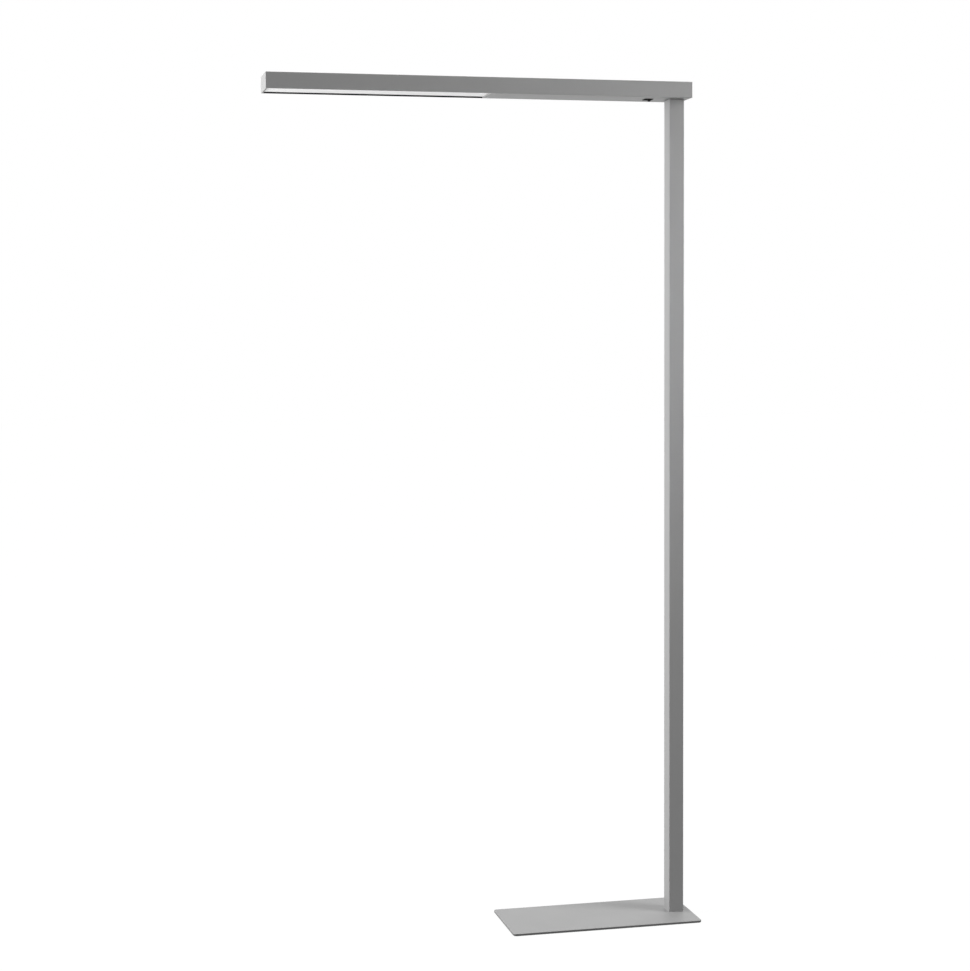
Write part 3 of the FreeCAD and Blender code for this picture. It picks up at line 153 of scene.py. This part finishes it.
class Tree:
    """Short way to add and join nodes of one material or group."""
    MIX_FACTOR, MIX_FIRST, MIX_SECOND, MIX_RESULT = 0, 6, 7, 2      # sockets of a mix of colours

    def __init__(self, node_tree):
        self.tree = node_tree

    def add(self, kind, values=None, **settings):
        """A new node with its settings, and with values or links for its inputs."""
        node = self.tree.nodes.new(f"ShaderNode{kind}")
        for name, value in settings.items():
            setattr(node, name, value)
        for name, value in (values or {}).items():
            self.feed(value, node.inputs[name])
        return node

    def feed(self, value, socket):
        """Link another node's output to a socket, or set a plain value on it."""
        if isinstance(value, bpy.types.NodeSocket):
            self.tree.links.new(value, socket)
        else:
            socket.default_value = value

    def math(self, operation, first, second=0.0, clamp=False):
        node = self.add("Math", {0: first, 1: second}, operation=operation, use_clamp=clamp)
        return node.outputs[0]

    def remap(self, value, low, high, to_low, to_high):
        """The value carried from one range to another, and held at its ends."""
        node = self.add("MapRange", {"Value": value, "From Min": low, "From Max": high,
                                     "To Min": to_low, "To Max": to_high})
        return node.outputs["Result"]

    def mask(self, value, none, full):
        """0 where the value is none, rising to 1 where it is full."""
        return self.remap(value, none, full, 0.0, 1.0)

    def noise(self, vector, scale, detail):
        return self.add("TexNoise", {"Vector": vector, "Scale": scale, "Detail": detail}).outputs["Fac"]

    def mix(self, factor, first, second, blend="MIX"):
        node = self.add("Mix", data_type="RGBA", blend_type=blend)
        self.feed(factor, node.inputs[self.MIX_FACTOR])
        self.feed(first, node.inputs[self.MIX_FIRST])
        self.feed(second, node.inputs[self.MIX_SECOND])
        return node.outputs[self.MIX_RESULT]

    def grey(self, level):
        """A level as a grey colour."""
        return self.add("CombineXYZ", {"X": level, "Y": level, "Z": level}).outputs[0]

    def shade(self, color, level):
        """The colour times a level."""
        return self.mix(1.0, color, self.grey(level), "MULTIPLY")

    def relief(self, height, depth, strength):
        """Normal of the surface with bumps on it."""
        bump = self.add("Bump", {"Height": height, "Distance": depth, "Strength": strength})
        return bump.outputs["Normal"]

    def place(self):
        """Coordinates in metres, in the lamp's frame."""
        return self.add("TexCoord").outputs["Object"]

    def sides(self, vector):
        """The vector's X, Y and Z."""
        return self.add("SeparateXYZ", {"Vector": vector}).outputs

    def normal(self):
        """The surface's normal."""
        return self.add("NewGeometry").outputs["Normal"]

    def facing(self):
        """How far the surface faces along X, Y and Z, either way."""
        size = self.add("VectorMath", {0: self.normal()}, operation="ABSOLUTE")
        return self.sides(size.outputs["Vector"])

    def off_row(self, row):
        """Distance along Y from the nearer of two rows, one on each side of the lamp's middle."""
        across = self.math("ABSOLUTE", self.sides(self.place())["Y"])
        return self.math("ABSOLUTE", self.math("SUBTRACT", across, row))

    def shows_white(self):
        """1 for the rays that show the white background: from the camera, gloss and glass."""
        rays = self.add("LightPath").outputs
        return self.math("MAXIMUM", rays["Is Camera Ray"],
                         self.math("MAXIMUM", rays["Is Glossy Ray"], rays["Is Transmission Ray"]))

    def effect(self, name, values):
        """A shared effect, built the first time it is asked for, with this material's own values."""
        if name not in bpy.data.node_groups:
            EFFECTS[name](name)
        node = self.add("Group", node_tree=bpy.data.node_groups[name])
        for socket, value in values.items():
            self.feed(value, node.inputs[socket])
        return node.outputs


def new_group(name, inputs, outputs):
    """Empty shader node group; returns its Tree, the inputs that it is given and its outputs."""
    group = bpy.data.node_groups.new(name, "ShaderNodeTree")
    for socket, kind, default in inputs:
        item = group.interface.new_socket(socket, in_out="INPUT", socket_type=f"NodeSocket{kind}")
        if default is not None:
            item.default_value = default
    for socket in outputs:
        group.interface.new_socket(socket, in_out="OUTPUT", socket_type="NodeSocketFloat")
    given = group.nodes.new("NodeGroupInput").outputs
    return Tree(group), given, group.nodes.new("NodeGroupOutput").inputs


# ---------------------------------------------------------------- shared effects

def build_grain(name):
    """Small rounded bumps on a slower wave, as on powder coat and moulded plastic."""
    tree, given, out = new_group(name, [("Vector", "Vector", None), ("Size", "Float", 0.001)],
                                 ["Height", "Mask"])
    fine_share, times_slower = 0.7, 5.0
    scale = tree.math("DIVIDE", 1.0, given["Size"])
    fine = tree.noise(given["Vector"], scale, detail=2.0)
    slow = tree.noise(given["Vector"], tree.math("DIVIDE", scale, times_slower), detail=1.0)
    height = tree.math("ADD", tree.math("MULTIPLY", fine, fine_share),
                       tree.math("MULTIPLY", slow, 1 - fine_share))
    tree.feed(height, out["Height"])
    tree.feed(tree.mask(fine, none=0.3, full=0.7), out["Mask"])


def build_edges(name):
    """1 where the surface turns away from the lamp's own directions."""
    tree, given, out = new_group(name, [("Low", "Float", 0.02), ("High", "Float", 0.25)], ["Mask"])
    facing = tree.facing()
    largest = tree.math("MAXIMUM", tree.math("MAXIMUM", facing["X"], facing["Y"]), facing["Z"])
    turned = tree.math("SUBTRACT", 1.0, largest)
    tree.feed(tree.mask(turned, none=given["Low"], full=given["High"]), out["Mask"])


def build_dust(name):
    """Thin clouds and specks of dust on faces that look up."""
    tree, given, out = new_group(name, [("Vector", "Vector", None), ("Amount", "Float", 0.1)],
                                 ["Mask"])
    upward = tree.mask(tree.sides(tree.normal())["Z"], none=0.6, full=1.0)
    clouds = tree.mask(tree.noise(given["Vector"], scale=9.0, detail=5.0), none=0.35, full=0.75)
    specks = tree.mask(tree.noise(given["Vector"], scale=900.0, detail=0.0), none=0.68, full=0.78)
    settled = tree.math("MULTIPLY", upward, tree.math("ADD", clouds, specks))
    tree.feed(tree.math("MULTIPLY", settled, given["Amount"], clamp=True), out["Mask"])


def build_tone(name):
    """Soft change of tone over the surface, about 1 on average."""
    tree, given, out = new_group(name, [("Vector", "Vector", None), ("Scale", "Float", 6.0),
                                        ("Amount", "Float", 0.03)], ["Tone"])
    wave = tree.math("SUBTRACT", tree.noise(given["Vector"], given["Scale"], detail=3.0), 0.5)
    tree.feed(tree.math("ADD", 1.0, tree.math("MULTIPLY", wave, given["Amount"])), out["Tone"])


EFFECTS = {"Fine grain": build_grain, "Rounded edges": build_edges, "Settled dust": build_dust,
           "Soft tone": build_tone}


# ---------------------------------------------------------------- materials

def new_material(name, **uniform):
    """Material with a Principled BSDF; uniform values go on its own sockets."""
    material = bpy.data.materials.new(name)
    material.use_nodes = True
    shader = material.node_tree.nodes["Principled BSDF"]
    for socket, value in uniform.items():
        shader.inputs[socket.replace("_", " ")].default_value = value
    return Tree(material.node_tree), shader


def rgba(color):
    return (color[0], color[1], color[2], 1.0)


def surface(tree, shader, color, roughness, grain, depth, speckle=0.02, tone=0.04, spread=0.06):
    """Colour, roughness and bump that change over the surface, at its grain; returns the colour."""
    place = tree.place()
    grains = tree.effect("Fine grain", {"Vector": place, "Size": grain})
    toned = tree.shade(rgba(color), tree.effect("Soft tone", {"Vector": place, "Amount": tone})["Tone"])
    speckled = tree.mix(tree.math("MULTIPLY", grains["Mask"], speckle), toned, WHITE)
    tree.feed(speckled, shader.inputs["Base Color"])
    rough = tree.remap(grains["Mask"], low=0.0, high=1.0, to_low=roughness - spread / 2,
                       to_high=roughness + spread / 2)
    tree.feed(rough, shader.inputs["Roughness"])
    tree.feed(tree.relief(grains["Height"], depth, strength=0.5), shader.inputs["Normal"])
    return speckled


def powder_coat(name, finish):
    """Satin silver-grey powder coat, thinner and brighter on rounded edges, with a little dust."""
    tree, shader = new_material(name, Specular_IOR_Level=0.25)
    plain = surface(tree, shader, finish.paint, finish.paint_roughness, finish.paint_grain,
                    depth=0.00008, speckle=0.03)
    edge = tree.effect("Rounded edges", {})["Mask"]
    edged = tree.mix(tree.math("MULTIPLY", edge, finish.worn_edge), plain, WHITE)
    dust = tree.effect("Settled dust", {"Vector": tree.place(), "Amount": finish.dust})["Mask"]
    coat = tree.mix(dust, edged, WHITE)
    tree.feed(coat, shader.inputs["Base Color"])
    return tree, shader, coat


def base_powder_coat(name, finish):
    """The same coat on the base plate, with painted shade on its upright sides."""
    tree, shader, coat = powder_coat(name, finish)
    # painted shade: faces that look neither up nor down take a darker share of the coat
    level = tree.remap(tree.facing()["Z"], low=0.2, high=0.6, to_low=finish.painted_side_shade, to_high=1.0)
    tree.feed(tree.shade(coat, level), shader.inputs["Base Color"])


def opal_top_sheet(name, finish):
    """The upper opal panel, unlit, a little darker over its two rows of chips."""
    tree, shader = new_material(name, Specular_IOR_Level=0.2, IOR=1.49)
    plain = surface(tree, shader, finish.opal_top, roughness=0.45, grain=0.0012, depth=0.00003,
                    tone=0.03)
    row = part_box("indirect_leds")[1].y - finish.chip_size / 2
    band = tree.remap(tree.off_row(row), low=0.0, high=2 * finish.chip_size, to_low=0.94, to_high=1.0)
    tree.feed(tree.shade(plain, band), shader.inputs["Base Color"])


def opal_sheet(name, finish):
    """The lower opal panel, with painted light: a soft glow that brightens it, more along two lines and at
    the free end.
    """
    tree, shader = new_material(name, Specular_IOR_Level=0.5, IOR=1.49, Emission_Strength=1.0)
    surface(tree, shader, finish.opal, roughness=0.38, grain=0.0012, depth=0.00003, tone=0.015)
    row = finish.painted_glow_row
    # painted light: emission that brightens the panel, stronger along two lines and towards the free end
    band = tree.remap(tree.off_row(row), low=0.0, high=row, to_low=1.0, to_high=0.75)
    end = tree.remap(tree.sides(tree.place())["X"], *PAINTED_GLOW_END, to_low=1.15, to_high=1.0)
    painted_glow = tree.math("MULTIPLY", tree.math("MULTIPLY", band, end), finish.painted_glow)
    tree.feed(tree.grey(painted_glow), shader.inputs["Emission Color"])


def moulded_black(name, finish):
    """Matt black of the button's bezel, the switch and the strips beside the lower panel."""
    tree, shader = new_material(name, Specular_IOR_Level=0.03)
    surface(tree, shader, finish.black, roughness=0.70, grain=0.0006, depth=0.00002, speckle=0.004)


def satin_black(name, finish):
    """Black of the push button, with a weak sheen that shows its dish."""
    tree, shader = new_material(name, Specular_IOR_Level=0.15)
    color = 1.5 * Vector(finish.black)
    surface(tree, shader, color, roughness=0.45, grain=0.0006, depth=0.00001, speckle=0.004)


def soft_rubber(name, finish):
    """Dull black rubber of the mat, gasket and grommets."""
    tree, shader = new_material(name, Specular_IOR_Level=0.3)
    color = 2 * Vector(finish.black)
    surface(tree, shader, color, roughness=0.75, grain=0.0008, depth=0.00006)


def milled_aluminium(name, finish):
    """Bare metal with fine lines along X."""
    tree, shader = new_material(name, Metallic=1.0)
    color, roughness, unevenness = rgba((0.70, 0.70, 0.71)), 0.34, 0.08
    stretched = tree.add("Mapping", {"Vector": tree.place(), "Scale": (60.0, 2400.0, 2400.0)})
    lines = tree.noise(stretched.outputs["Vector"], scale=1.0, detail=3.0)
    bright = tree.remap(lines, low=0.3, high=0.7, to_low=0.0, to_high=0.25)
    rough = tree.remap(lines, low=0.3, high=0.7, to_low=roughness - unevenness,
                       to_high=roughness + unevenness)
    tree.feed(tree.mix(bright, color, WHITE), shader.inputs["Base Color"])
    tree.feed(rough, shader.inputs["Roughness"])
    tree.feed(tree.relief(lines, depth=0.00002, strength=0.4), shader.inputs["Normal"])


def inner_finish(color, roughness, grain, metallic=0.0, spread=0.15):
    """Maker of a metal or plastic of the inner pieces."""
    def make(name, finish):
        tree, shader = new_material(name, Metallic=metallic)
        surface(tree, shader, color, roughness, grain, depth=0.00002, speckle=0.03, tone=0.06,
                spread=spread)
    return make


FINISHES = {
    "powder_coat": powder_coat,
    "base_powder_coat": base_powder_coat,
    "opal_sheet": opal_sheet,
    "opal_top_sheet": opal_top_sheet,
    "moulded_black": moulded_black,
    "satin_black": satin_black,
    "soft_rubber": soft_rubber,
    "milled_aluminium": milled_aluminium,
    "zinc_plate": inner_finish((0.55, 0.56, 0.58), roughness=0.32, grain=0.0007, metallic=1.0),
    "nickel_plate": inner_finish((0.62, 0.60, 0.55), roughness=0.25, grain=0.0007, metallic=1.0),
    "moulded_white": inner_finish((0.75, 0.75, 0.74), roughness=0.42, grain=0.0006),
    "white_resist": inner_finish((0.78, 0.78, 0.77), roughness=0.30, grain=0.0004, spread=0.08),
    "chip_resin": inner_finish((0.80, 0.62, 0.15), roughness=0.22, grain=0.0003, spread=0.05),
    "cable_sheath": inner_finish((0.25, 0.25, 0.26), roughness=0.50, grain=0.0009),
}


def finish_of(name):
    """The finish, made the first time it is asked for."""
    if name not in bpy.data.materials:
        FINISHES[name](name, bpy.context.scene.lamp_finish)
    return bpy.data.materials[name]


def dress(name, *nodes):
    """Give carried-over nodes a finish."""
    for node in nodes:
        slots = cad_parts[node].data.materials
        slots.clear()
        slots.append(finish_of(name))


# ---------------------------------------------------------------- mesh pieces

def new_object(name, data):
    made = bpy.data.objects.new(name, data)
    bpy.context.scene.collection.objects.link(made)
    return made


def mesh_piece(name, bm, node, body, finish):
    """Piece made of a mesh; it stands for a node, which it hides, rides on its body and takes the given
    finish.
    """
    mesh = bpy.data.meshes.new(name)
    bmesh.ops.recalc_face_normals(bm, faces=bm.faces)
    bm.to_mesh(mesh)
    bm.free()
    mesh.shade_smooth()
    mesh.set_sharp_from_angle(angle=SHARP)
    mesh.materials.append(finish_of(finish))
    piece = new_object(name, mesh)
    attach(piece, body)
    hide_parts(node)
    return piece


def copy_of(node):
    """The node's mesh with its split corners joined again."""
    bm = bmesh.new()
    bm.from_mesh(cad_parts[node].data)
    bmesh.ops.remove_doubles(bm, verts=bm.verts, dist=MERGE)
    return bm


def rounded(corners, steps=6):
    """Closed outline of (point, radius) corners at right angles, each turned into an arc."""
    outline = []
    for index, (corner, radius) in enumerate(corners):
        before = corners[index - 1][0]
        after = corners[(index + 1) % len(corners)][0]
        start = corner + (before - corner).normalized() * radius
        end = corner + (after - corner).normalized() * radius
        centre = start + end - corner
        for step in range(steps + 1 if radius else 1):
            angle = math.pi / 2 * step / steps
            outline.append(centre + (start - centre) * math.cos(angle) + (end - centre) * math.sin(angle))
    return outline


def ring(bm, centre, axis, radius, sides):
    """Corners of a circle about an axis."""
    side = axis.orthogonal().normalized() * radius
    return [bm.verts.new(centre + Matrix.Rotation(math.tau * step / sides, 3, axis) @ side)
            for step in range(sides)]


def bridge(bm, first, second):
    """Quads between two rings with as many corners."""
    for index in range(len(first)):
        following = (index + 1) % len(first)
        bm.faces.new((first[index], first[following], second[following], second[index]))


PIP_PROFILE = ((0.0, 1.0), (0.65, 0.92), (1.0, 0.70))       # shares of the way down and of the radius
PIP_SIDES = 12


def add_pip(bm, x, y, root, tip, radius):
    """Closed round pip, from its root height down to its tip."""
    rings = [ring(bm, Vector((x, y, root + (tip - root) * down)), Z_AXIS, radius * width, PIP_SIDES)
             for down, width in PIP_PROFILE]
    for first, second in zip(rings, rings[1:]):
        bridge(bm, first, second)
    bm.faces.new(rings[0])
    bm.faces.new(rings[-1])


def evenly(low, high, pitch):
    """Places between two ends, evenly spaced at about the pitch."""
    count = max(1, round((high - low) / pitch))
    return [low + (high - low) * index / count for index in range(count + 1)]


def make_mat(trim):
    """Rubber sheet with rows of round pips under it, round the window for the screws."""
    low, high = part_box("floor_mat")
    bm = copy_of("floor_mat")
    sheet = low.z + trim.pip_height
    for vertex in bm.verts:
        vertex.co.z = max(vertex.co.z, sheet)
    root = sheet + (high.z - sheet) / 3
    window_low, window_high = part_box("base_screws")
    margin = 0.75 * trim.pip_pitch
    room = 2 * trim.pip_radius + trim.pip_room
    for x in evenly(low.x + margin, high.x - margin, trim.pip_pitch):
        for y in evenly(low.y + margin, high.y - margin, trim.pip_pitch):
            in_window = (window_low.x - room < x < window_high.x + room
                         and window_low.y - room < y < window_high.y + room)
            if not in_window:
                add_pip(bm, x, y, root, low.z, trim.pip_radius)
    mesh_piece("floor_mat_with_pips", bm, "floor_mat", "lamp", "soft_rubber")


GROMMET_SIDES = 64


def make_grommet(trim):
    """Grommet with soft lips, turned about the cord's line."""
    low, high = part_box("cord_grommet")
    centre = Vector(((low.x + high.x) / 2, low.y, (low.z + high.z) / 2))
    rim = (high.x - low.x) / 2
    length = high.y - low.y
    flange = (length - trim.pole_wall) / 2
    bore, neck = trim.grommet_bore / 2, trim.grommet_neck / 2
    lip = 0.6 * flange
    corners = [((bore, 0), lip), ((bore, length), lip), ((rim, length), lip),
               ((rim, length - flange), lip / 3), ((neck, length - flange), 0),
               ((neck, flange), 0), ((rim, flange), lip / 3), ((rim, 0), lip)]
    outline = rounded([(Vector(point), radius) for point, radius in corners])
    bm = bmesh.new()
    rings = [ring(bm, centre + point.y * Y_AXIS, Y_AXIS, point.x, GROMMET_SIDES) for point in outline]
    for first, second in zip(rings, rings[1:] + rings[:1]):
        bridge(bm, first, second)
    mesh_piece("cord_grommet_with_lips", bm, "cord_grommet", "lamp", "soft_rubber")


DISH_RINGS = (0.85, 0.7, 0.5, 0.3, 0.12)        # shares of the button's face, from the dish's edge inward


def make_button_nose(trim):
    """The plunger with a shallow dish in its face, where a finger rests."""
    bm = copy_of("button_plunger")
    low = min(vertex.co.z for vertex in bm.verts)
    flat = [face for face in bm.faces if all(abs(vertex.co.z - low) < MERGE for vertex in face.verts)]
    bmesh.ops.delete(bm, geom=flat, context="FACES")
    rim = [vertex for vertex in bm.verts if vertex.is_boundary]
    centre = sum((vertex.co for vertex in rim), Vector()) / len(rim)
    outer = sorted(rim, key=lambda vertex: math.atan2(vertex.co.y - centre.y, vertex.co.x - centre.x))
    spokes = [vertex.co - centre for vertex in outer]
    for share in DISH_RINGS:
        rise = trim.nose_dish * (1 - (share / DISH_RINGS[0]) ** 2)
        inner = [bm.verts.new(centre + spoke * share + rise * Z_AXIS) for spoke in spokes]
        bridge(bm, outer, inner)
        outer = inner
    bm.faces.new(outer)
    mesh_piece("button_plunger_dished", bm, "button_plunger", "button", "satin_black")


def make_return_spring():
    """The button's spring, with a mesh of its own."""
    spring = mesh_piece("button_return_spring", copy_of("button_spring"), "button_spring", "lamp",
                        "zinc_plate")
    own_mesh(spring)


# ---------------------------------------------------------------- stage

def make_floor(studio):
    """White floor that keeps the lamp's shadow, and can't be seen from below."""
    mesh = bpy.data.meshes.new("floor")
    bm = bmesh.new()
    bmesh.ops.create_grid(bm, x_segments=4, y_segments=4, size=studio.floor_size / 2)
    bm.to_mesh(mesh)
    bm.free()
    floor = new_object("floor", mesh)
    tree, shader = new_material("studio_floor", Roughness=0.9, Specular_IOR_Level=0.0)
    shader.inputs["Base Color"].default_value = rgba([studio.floor_bounce] * 3)
    from_lamp = tree.add("VectorMath", {0: tree.place()}, operation="LENGTH").outputs["Value"]
    white = tree.remap(from_lamp, studio.white_start, studio.white_end, to_low=studio.floor_white,
                       to_high=1.0)
    shown = tree.add("Emission", {"Color": WHITE, "Strength": white})
    shadow = tree.add("BsdfDiffuse", {"Color": rgba([studio.floor_shadow] * 3)})
    both = tree.add("AddShader", {0: shown.outputs[0], 1: shadow.outputs[0]})
    top = tree.add("MixShader", {0: tree.shows_white(), 1: shader.outputs[0], 2: both.outputs[0]})
    from_below = tree.add("NewGeometry").outputs["Backfacing"]
    clear = tree.add("BsdfTransparent")
    whole = tree.add("MixShader", {0: from_below, 1: top.outputs[0], 2: clear.outputs[0]})
    tree.feed(whole.outputs[0], tree.tree.nodes["Material Output"].inputs["Surface"])
    mesh.materials.append(bpy.data.materials["studio_floor"])


def make_world(studio):
    """Surroundings that are white where they show, and dim where they light the lamp."""
    world = bpy.data.worlds.new("studio")
    world.use_nodes = True
    bpy.context.scene.world = world
    tree = Tree(world.node_tree)
    background = tree.tree.nodes["Background"]
    tree.feed(WHITE, background.inputs["Color"])
    strength = tree.remap(tree.shows_white(), low=0.0, high=1.0, to_low=studio.room, to_high=1.0)
    tree.feed(strength, background.inputs["Strength"])


LIGHTS = [
    # name, place, aim, width, height, watts, spread in degrees
    ("right_high", (1.8, -1.0, 2.8), (0.0, 0.0, 0.5), 0.8, 0.8, 22.0, 180),
    ("right_mid", (2.2, -1.2, 2.0), (0.1, 0.0, 0.8), 0.8, 0.8, 21.0, 180),
    ("front_right", (1.6, -2.0, 2.2), (0.1, 0.0, 1.7), 1.2, 1.0, 5.5, 180),
    ("front_left", (-2.8, -3.0, 2.2), (-0.2, 0.0, 1.4), 1.6, 1.6, 34.0, 180),
    ("left", (-3.2, 0.6, 1.5), (0.0, 0.0, 1.1), 1.6, 2.4, 120.0, 180),
    ("above", (-0.1, 0.2, 3.6), (-0.1, 0.0, 0.0), 2.4, 1.8, 33.0, 180),
    ("rear_right", (2.6, 2.6, 1.8), (0.0, 0.0, 1.0), 1.4, 1.8, 24.0, 180),
    ("pole_wash", (2.2, -2.2, 1.5), (0.19, 0.0, 1.4), 0.4, 0.4, 0.6, 28),
]


def make_lights():
    """Soft boxes; they light the lamp, and only the surroundings show in its gloss."""
    for name, place, aim, width, height, watts, spread in LIGHTS:
        lamp = bpy.data.lights.new(name, "AREA")
        lamp.shape = "RECTANGLE"
        lamp.size, lamp.size_y = width, height
        lamp.energy = watts
        lamp.spread = math.radians(spread)
        light = new_object(name, lamp)
        light.location = place
        light.rotation_euler = (Vector(aim) - Vector(place)).to_track_quat("-Z", "Y").to_euler()
        light.visible_camera = False
        light.visible_glossy = False


def make_camera(studio):
    """Camera at the photograph's viewing angle, from its heading, dip and roll."""
    heading, dip, roll = studio.camera_heading, studio.camera_dip, studio.camera_roll
    ahead = Vector((math.sin(heading) * math.cos(dip), math.cos(heading) * math.cos(dip), -math.sin(dip)))
    level = Vector((math.cos(heading), -math.sin(heading), 0.0))
    above = level.cross(ahead)
    right = level * math.cos(roll) + above * math.sin(roll)
    up = above * math.cos(roll) - level * math.sin(roll)
    turned = Matrix((right, up, -ahead)).transposed().to_4x4()
    lens = bpy.data.cameras.new("photo_camera")
    lens.lens = studio.lens
    lens.sensor_width = 36.0
    lens.clip_end = 200.0
    camera = new_object("photo_camera", lens)
    camera.matrix_world = Matrix.Translation(studio.camera_place) @ turned
    bpy.context.scene.camera = camera


class LAMP_OT_stage(bpy.types.Operator):
    """Floor, surroundings, lights and camera"""
    bl_idname = "lamp.stage"
    bl_label = "Studio stage"

    def execute(self, context):
        studio = context.scene.lamp_studio
        make_floor(studio)
        make_world(studio)
        make_lights()
        make_camera(studio)
        context.scene.view_settings.view_transform = "Standard"
        return {"FINISHED"}


# ---------------------------------------------------------------- pieces

class LAMP_OT_base(bpy.types.Operator):
    """Base plate, its screws and the rubber mat under it"""
    bl_idname = "lamp.base"
    bl_label = "Base"

    def execute(self, context):
        dress("base_powder_coat", "base_plate")
        make_mat(context.scene.lamp_trim)
        dress("zinc_plate", "base_screws")
        return {"FINISHED"}


class LAMP_OT_pole(bpy.types.Operator):
    """Pole, its inserts, screws, cord inlet and cable"""
    bl_idname = "lamp.pole"
    bl_label = "Pole"

    def execute(self, context):
        dress("powder_coat", "pole")
        dress("zinc_plate", "pole_screws", "pole_foot_insert")
        dress("milled_aluminium", "pole_top_insert")
        make_grommet(context.scene.lamp_trim)
        dress("cable_sheath", "pole_cable")
        return {"FINISHED"}


class LAMP_OT_head_joint(bpy.types.Operator):
    """Gasket, bracket and screws between pole and head"""
    bl_idname = "lamp.head_joint"
    bl_label = "Joint of pole and head"

    def execute(self, context):
        dress("soft_rubber", "head_gasket")
        dress("milled_aluminium", "head_bracket")
        dress("zinc_plate", "head_screws")
        return {"FINISHED"}


class LAMP_OT_housing(bpy.types.Operator):
    """Extruded housing of the head with its two end caps"""
    bl_idname = "lamp.housing"
    bl_label = "Head housing"

    def execute(self, context):
        dress("powder_coat", "head_housing", "end_cap_free", "end_cap_pole")
        dress("zinc_plate", "end_cap_screws")
        return {"FINISHED"}


class LAMP_OT_covers(bpy.types.Operator):
    """Covers over the control gear and the pole"""
    bl_idname = "lamp.covers"
    bl_label = "Covers"

    def execute(self, context):
        dress("powder_coat", "bottom_cover", "top_cover")
        dress("zinc_plate", "cover_screws", "cover_standoffs")
        dress("moulded_white", "divider")
        return {"FINISHED"}


class LAMP_OT_diffusers(bpy.types.Operator):
    """Opal panels and the black strips beside the lower one"""
    bl_idname = "lamp.diffusers"
    bl_label = "Diffusers"

    def execute(self, context):
        dress("opal_sheet", "direct_diffuser")
        dress("opal_top_sheet", "indirect_diffuser")
        dress("moulded_black", "diffuser_seal_front", "diffuser_seal_rear")
        return {"FINISHED"}


class LAMP_OT_light_boards(bpy.types.Operator):
    """Boards with their rows of chips"""
    bl_idname = "lamp.light_boards"
    bl_label = "Light boards"

    def execute(self, context):
        dress("white_resist", "direct_led_board", "indirect_led_board")
        dress("chip_resin", "direct_leds", "indirect_leds")
        return {"FINISHED"}


class LAMP_OT_control_gear(bpy.types.Operator):
    """Driver, mains terminal and their leads"""
    bl_idname = "lamp.control_gear"
    bl_label = "Control gear"

    def execute(self, context):
        dress("moulded_white", "led_driver", "mains_terminal")
        dress("zinc_plate", "driver_screws", "terminal_screw")
        dress("soft_rubber", "web_grommet")
        dress("cable_sheath", "mains_wires", "switch_wires", "direct_lead", "indirect_lead")
        return {"FINISHED"}


class LAMP_OT_button(bpy.types.Operator):
    """Push button with its bezel, spring, nut and switch"""
    bl_idname = "lamp.button"
    bl_label = "Push button"

    def execute(self, context):
        dress("moulded_black", "button_bezel", "switch_body")
        make_button_nose(context.scene.lamp_trim)
        make_return_spring()
        dress("nickel_plate", "switch_nut")
        return {"FINISHED"}


STEPS = [LAMP_OT_stage, LAMP_OT_base, LAMP_OT_pole, LAMP_OT_head_joint, LAMP_OT_housing, LAMP_OT_covers,
         LAMP_OT_diffusers, LAMP_OT_light_boards, LAMP_OT_control_gear, LAMP_OT_button]


class LAMP_PT_panel(bpy.types.Panel):
    """Lists the lamp's settings and steps"""
    bl_idname = "LAMP_PT_panel"
    bl_label = "Office floor lamp"
    bl_space_type = "VIEW_3D"
    bl_region_type = "UI"
    bl_category = "Lamp"

    def draw(self, context):
        for settings in (context.scene.lamp_finish, context.scene.lamp_trim, context.scene.lamp_studio):
            box = self.layout.box()
            for name in settings.__annotations__:
                box.prop(settings, name)
        for step in STEPS:
            self.layout.operator(step.bl_idname)


CLASSES = [LampFinish, LampTrim, LampStudio, *STEPS, LAMP_PT_panel]


def register():
    for each in CLASSES:
        bpy.utils.register_class(each)
    bpy.types.Scene.lamp_finish = PointerProperty(type=LampFinish)
    bpy.types.Scene.lamp_trim = PointerProperty(type=LampTrim)
    bpy.types.Scene.lamp_studio = PointerProperty(type=LampStudio)


def unregister():
    del bpy.types.Scene.lamp_studio
    del bpy.types.Scene.lamp_trim
    del bpy.types.Scene.lamp_finish
    for each in reversed(CLASSES):
        bpy.utils.unregister_class(each)


def main():
    register()
    for step in STEPS:
        namespace, name = step.bl_idname.split(".")
        getattr(getattr(bpy.ops, namespace), name)()


if __name__ == "__main__":
    main()
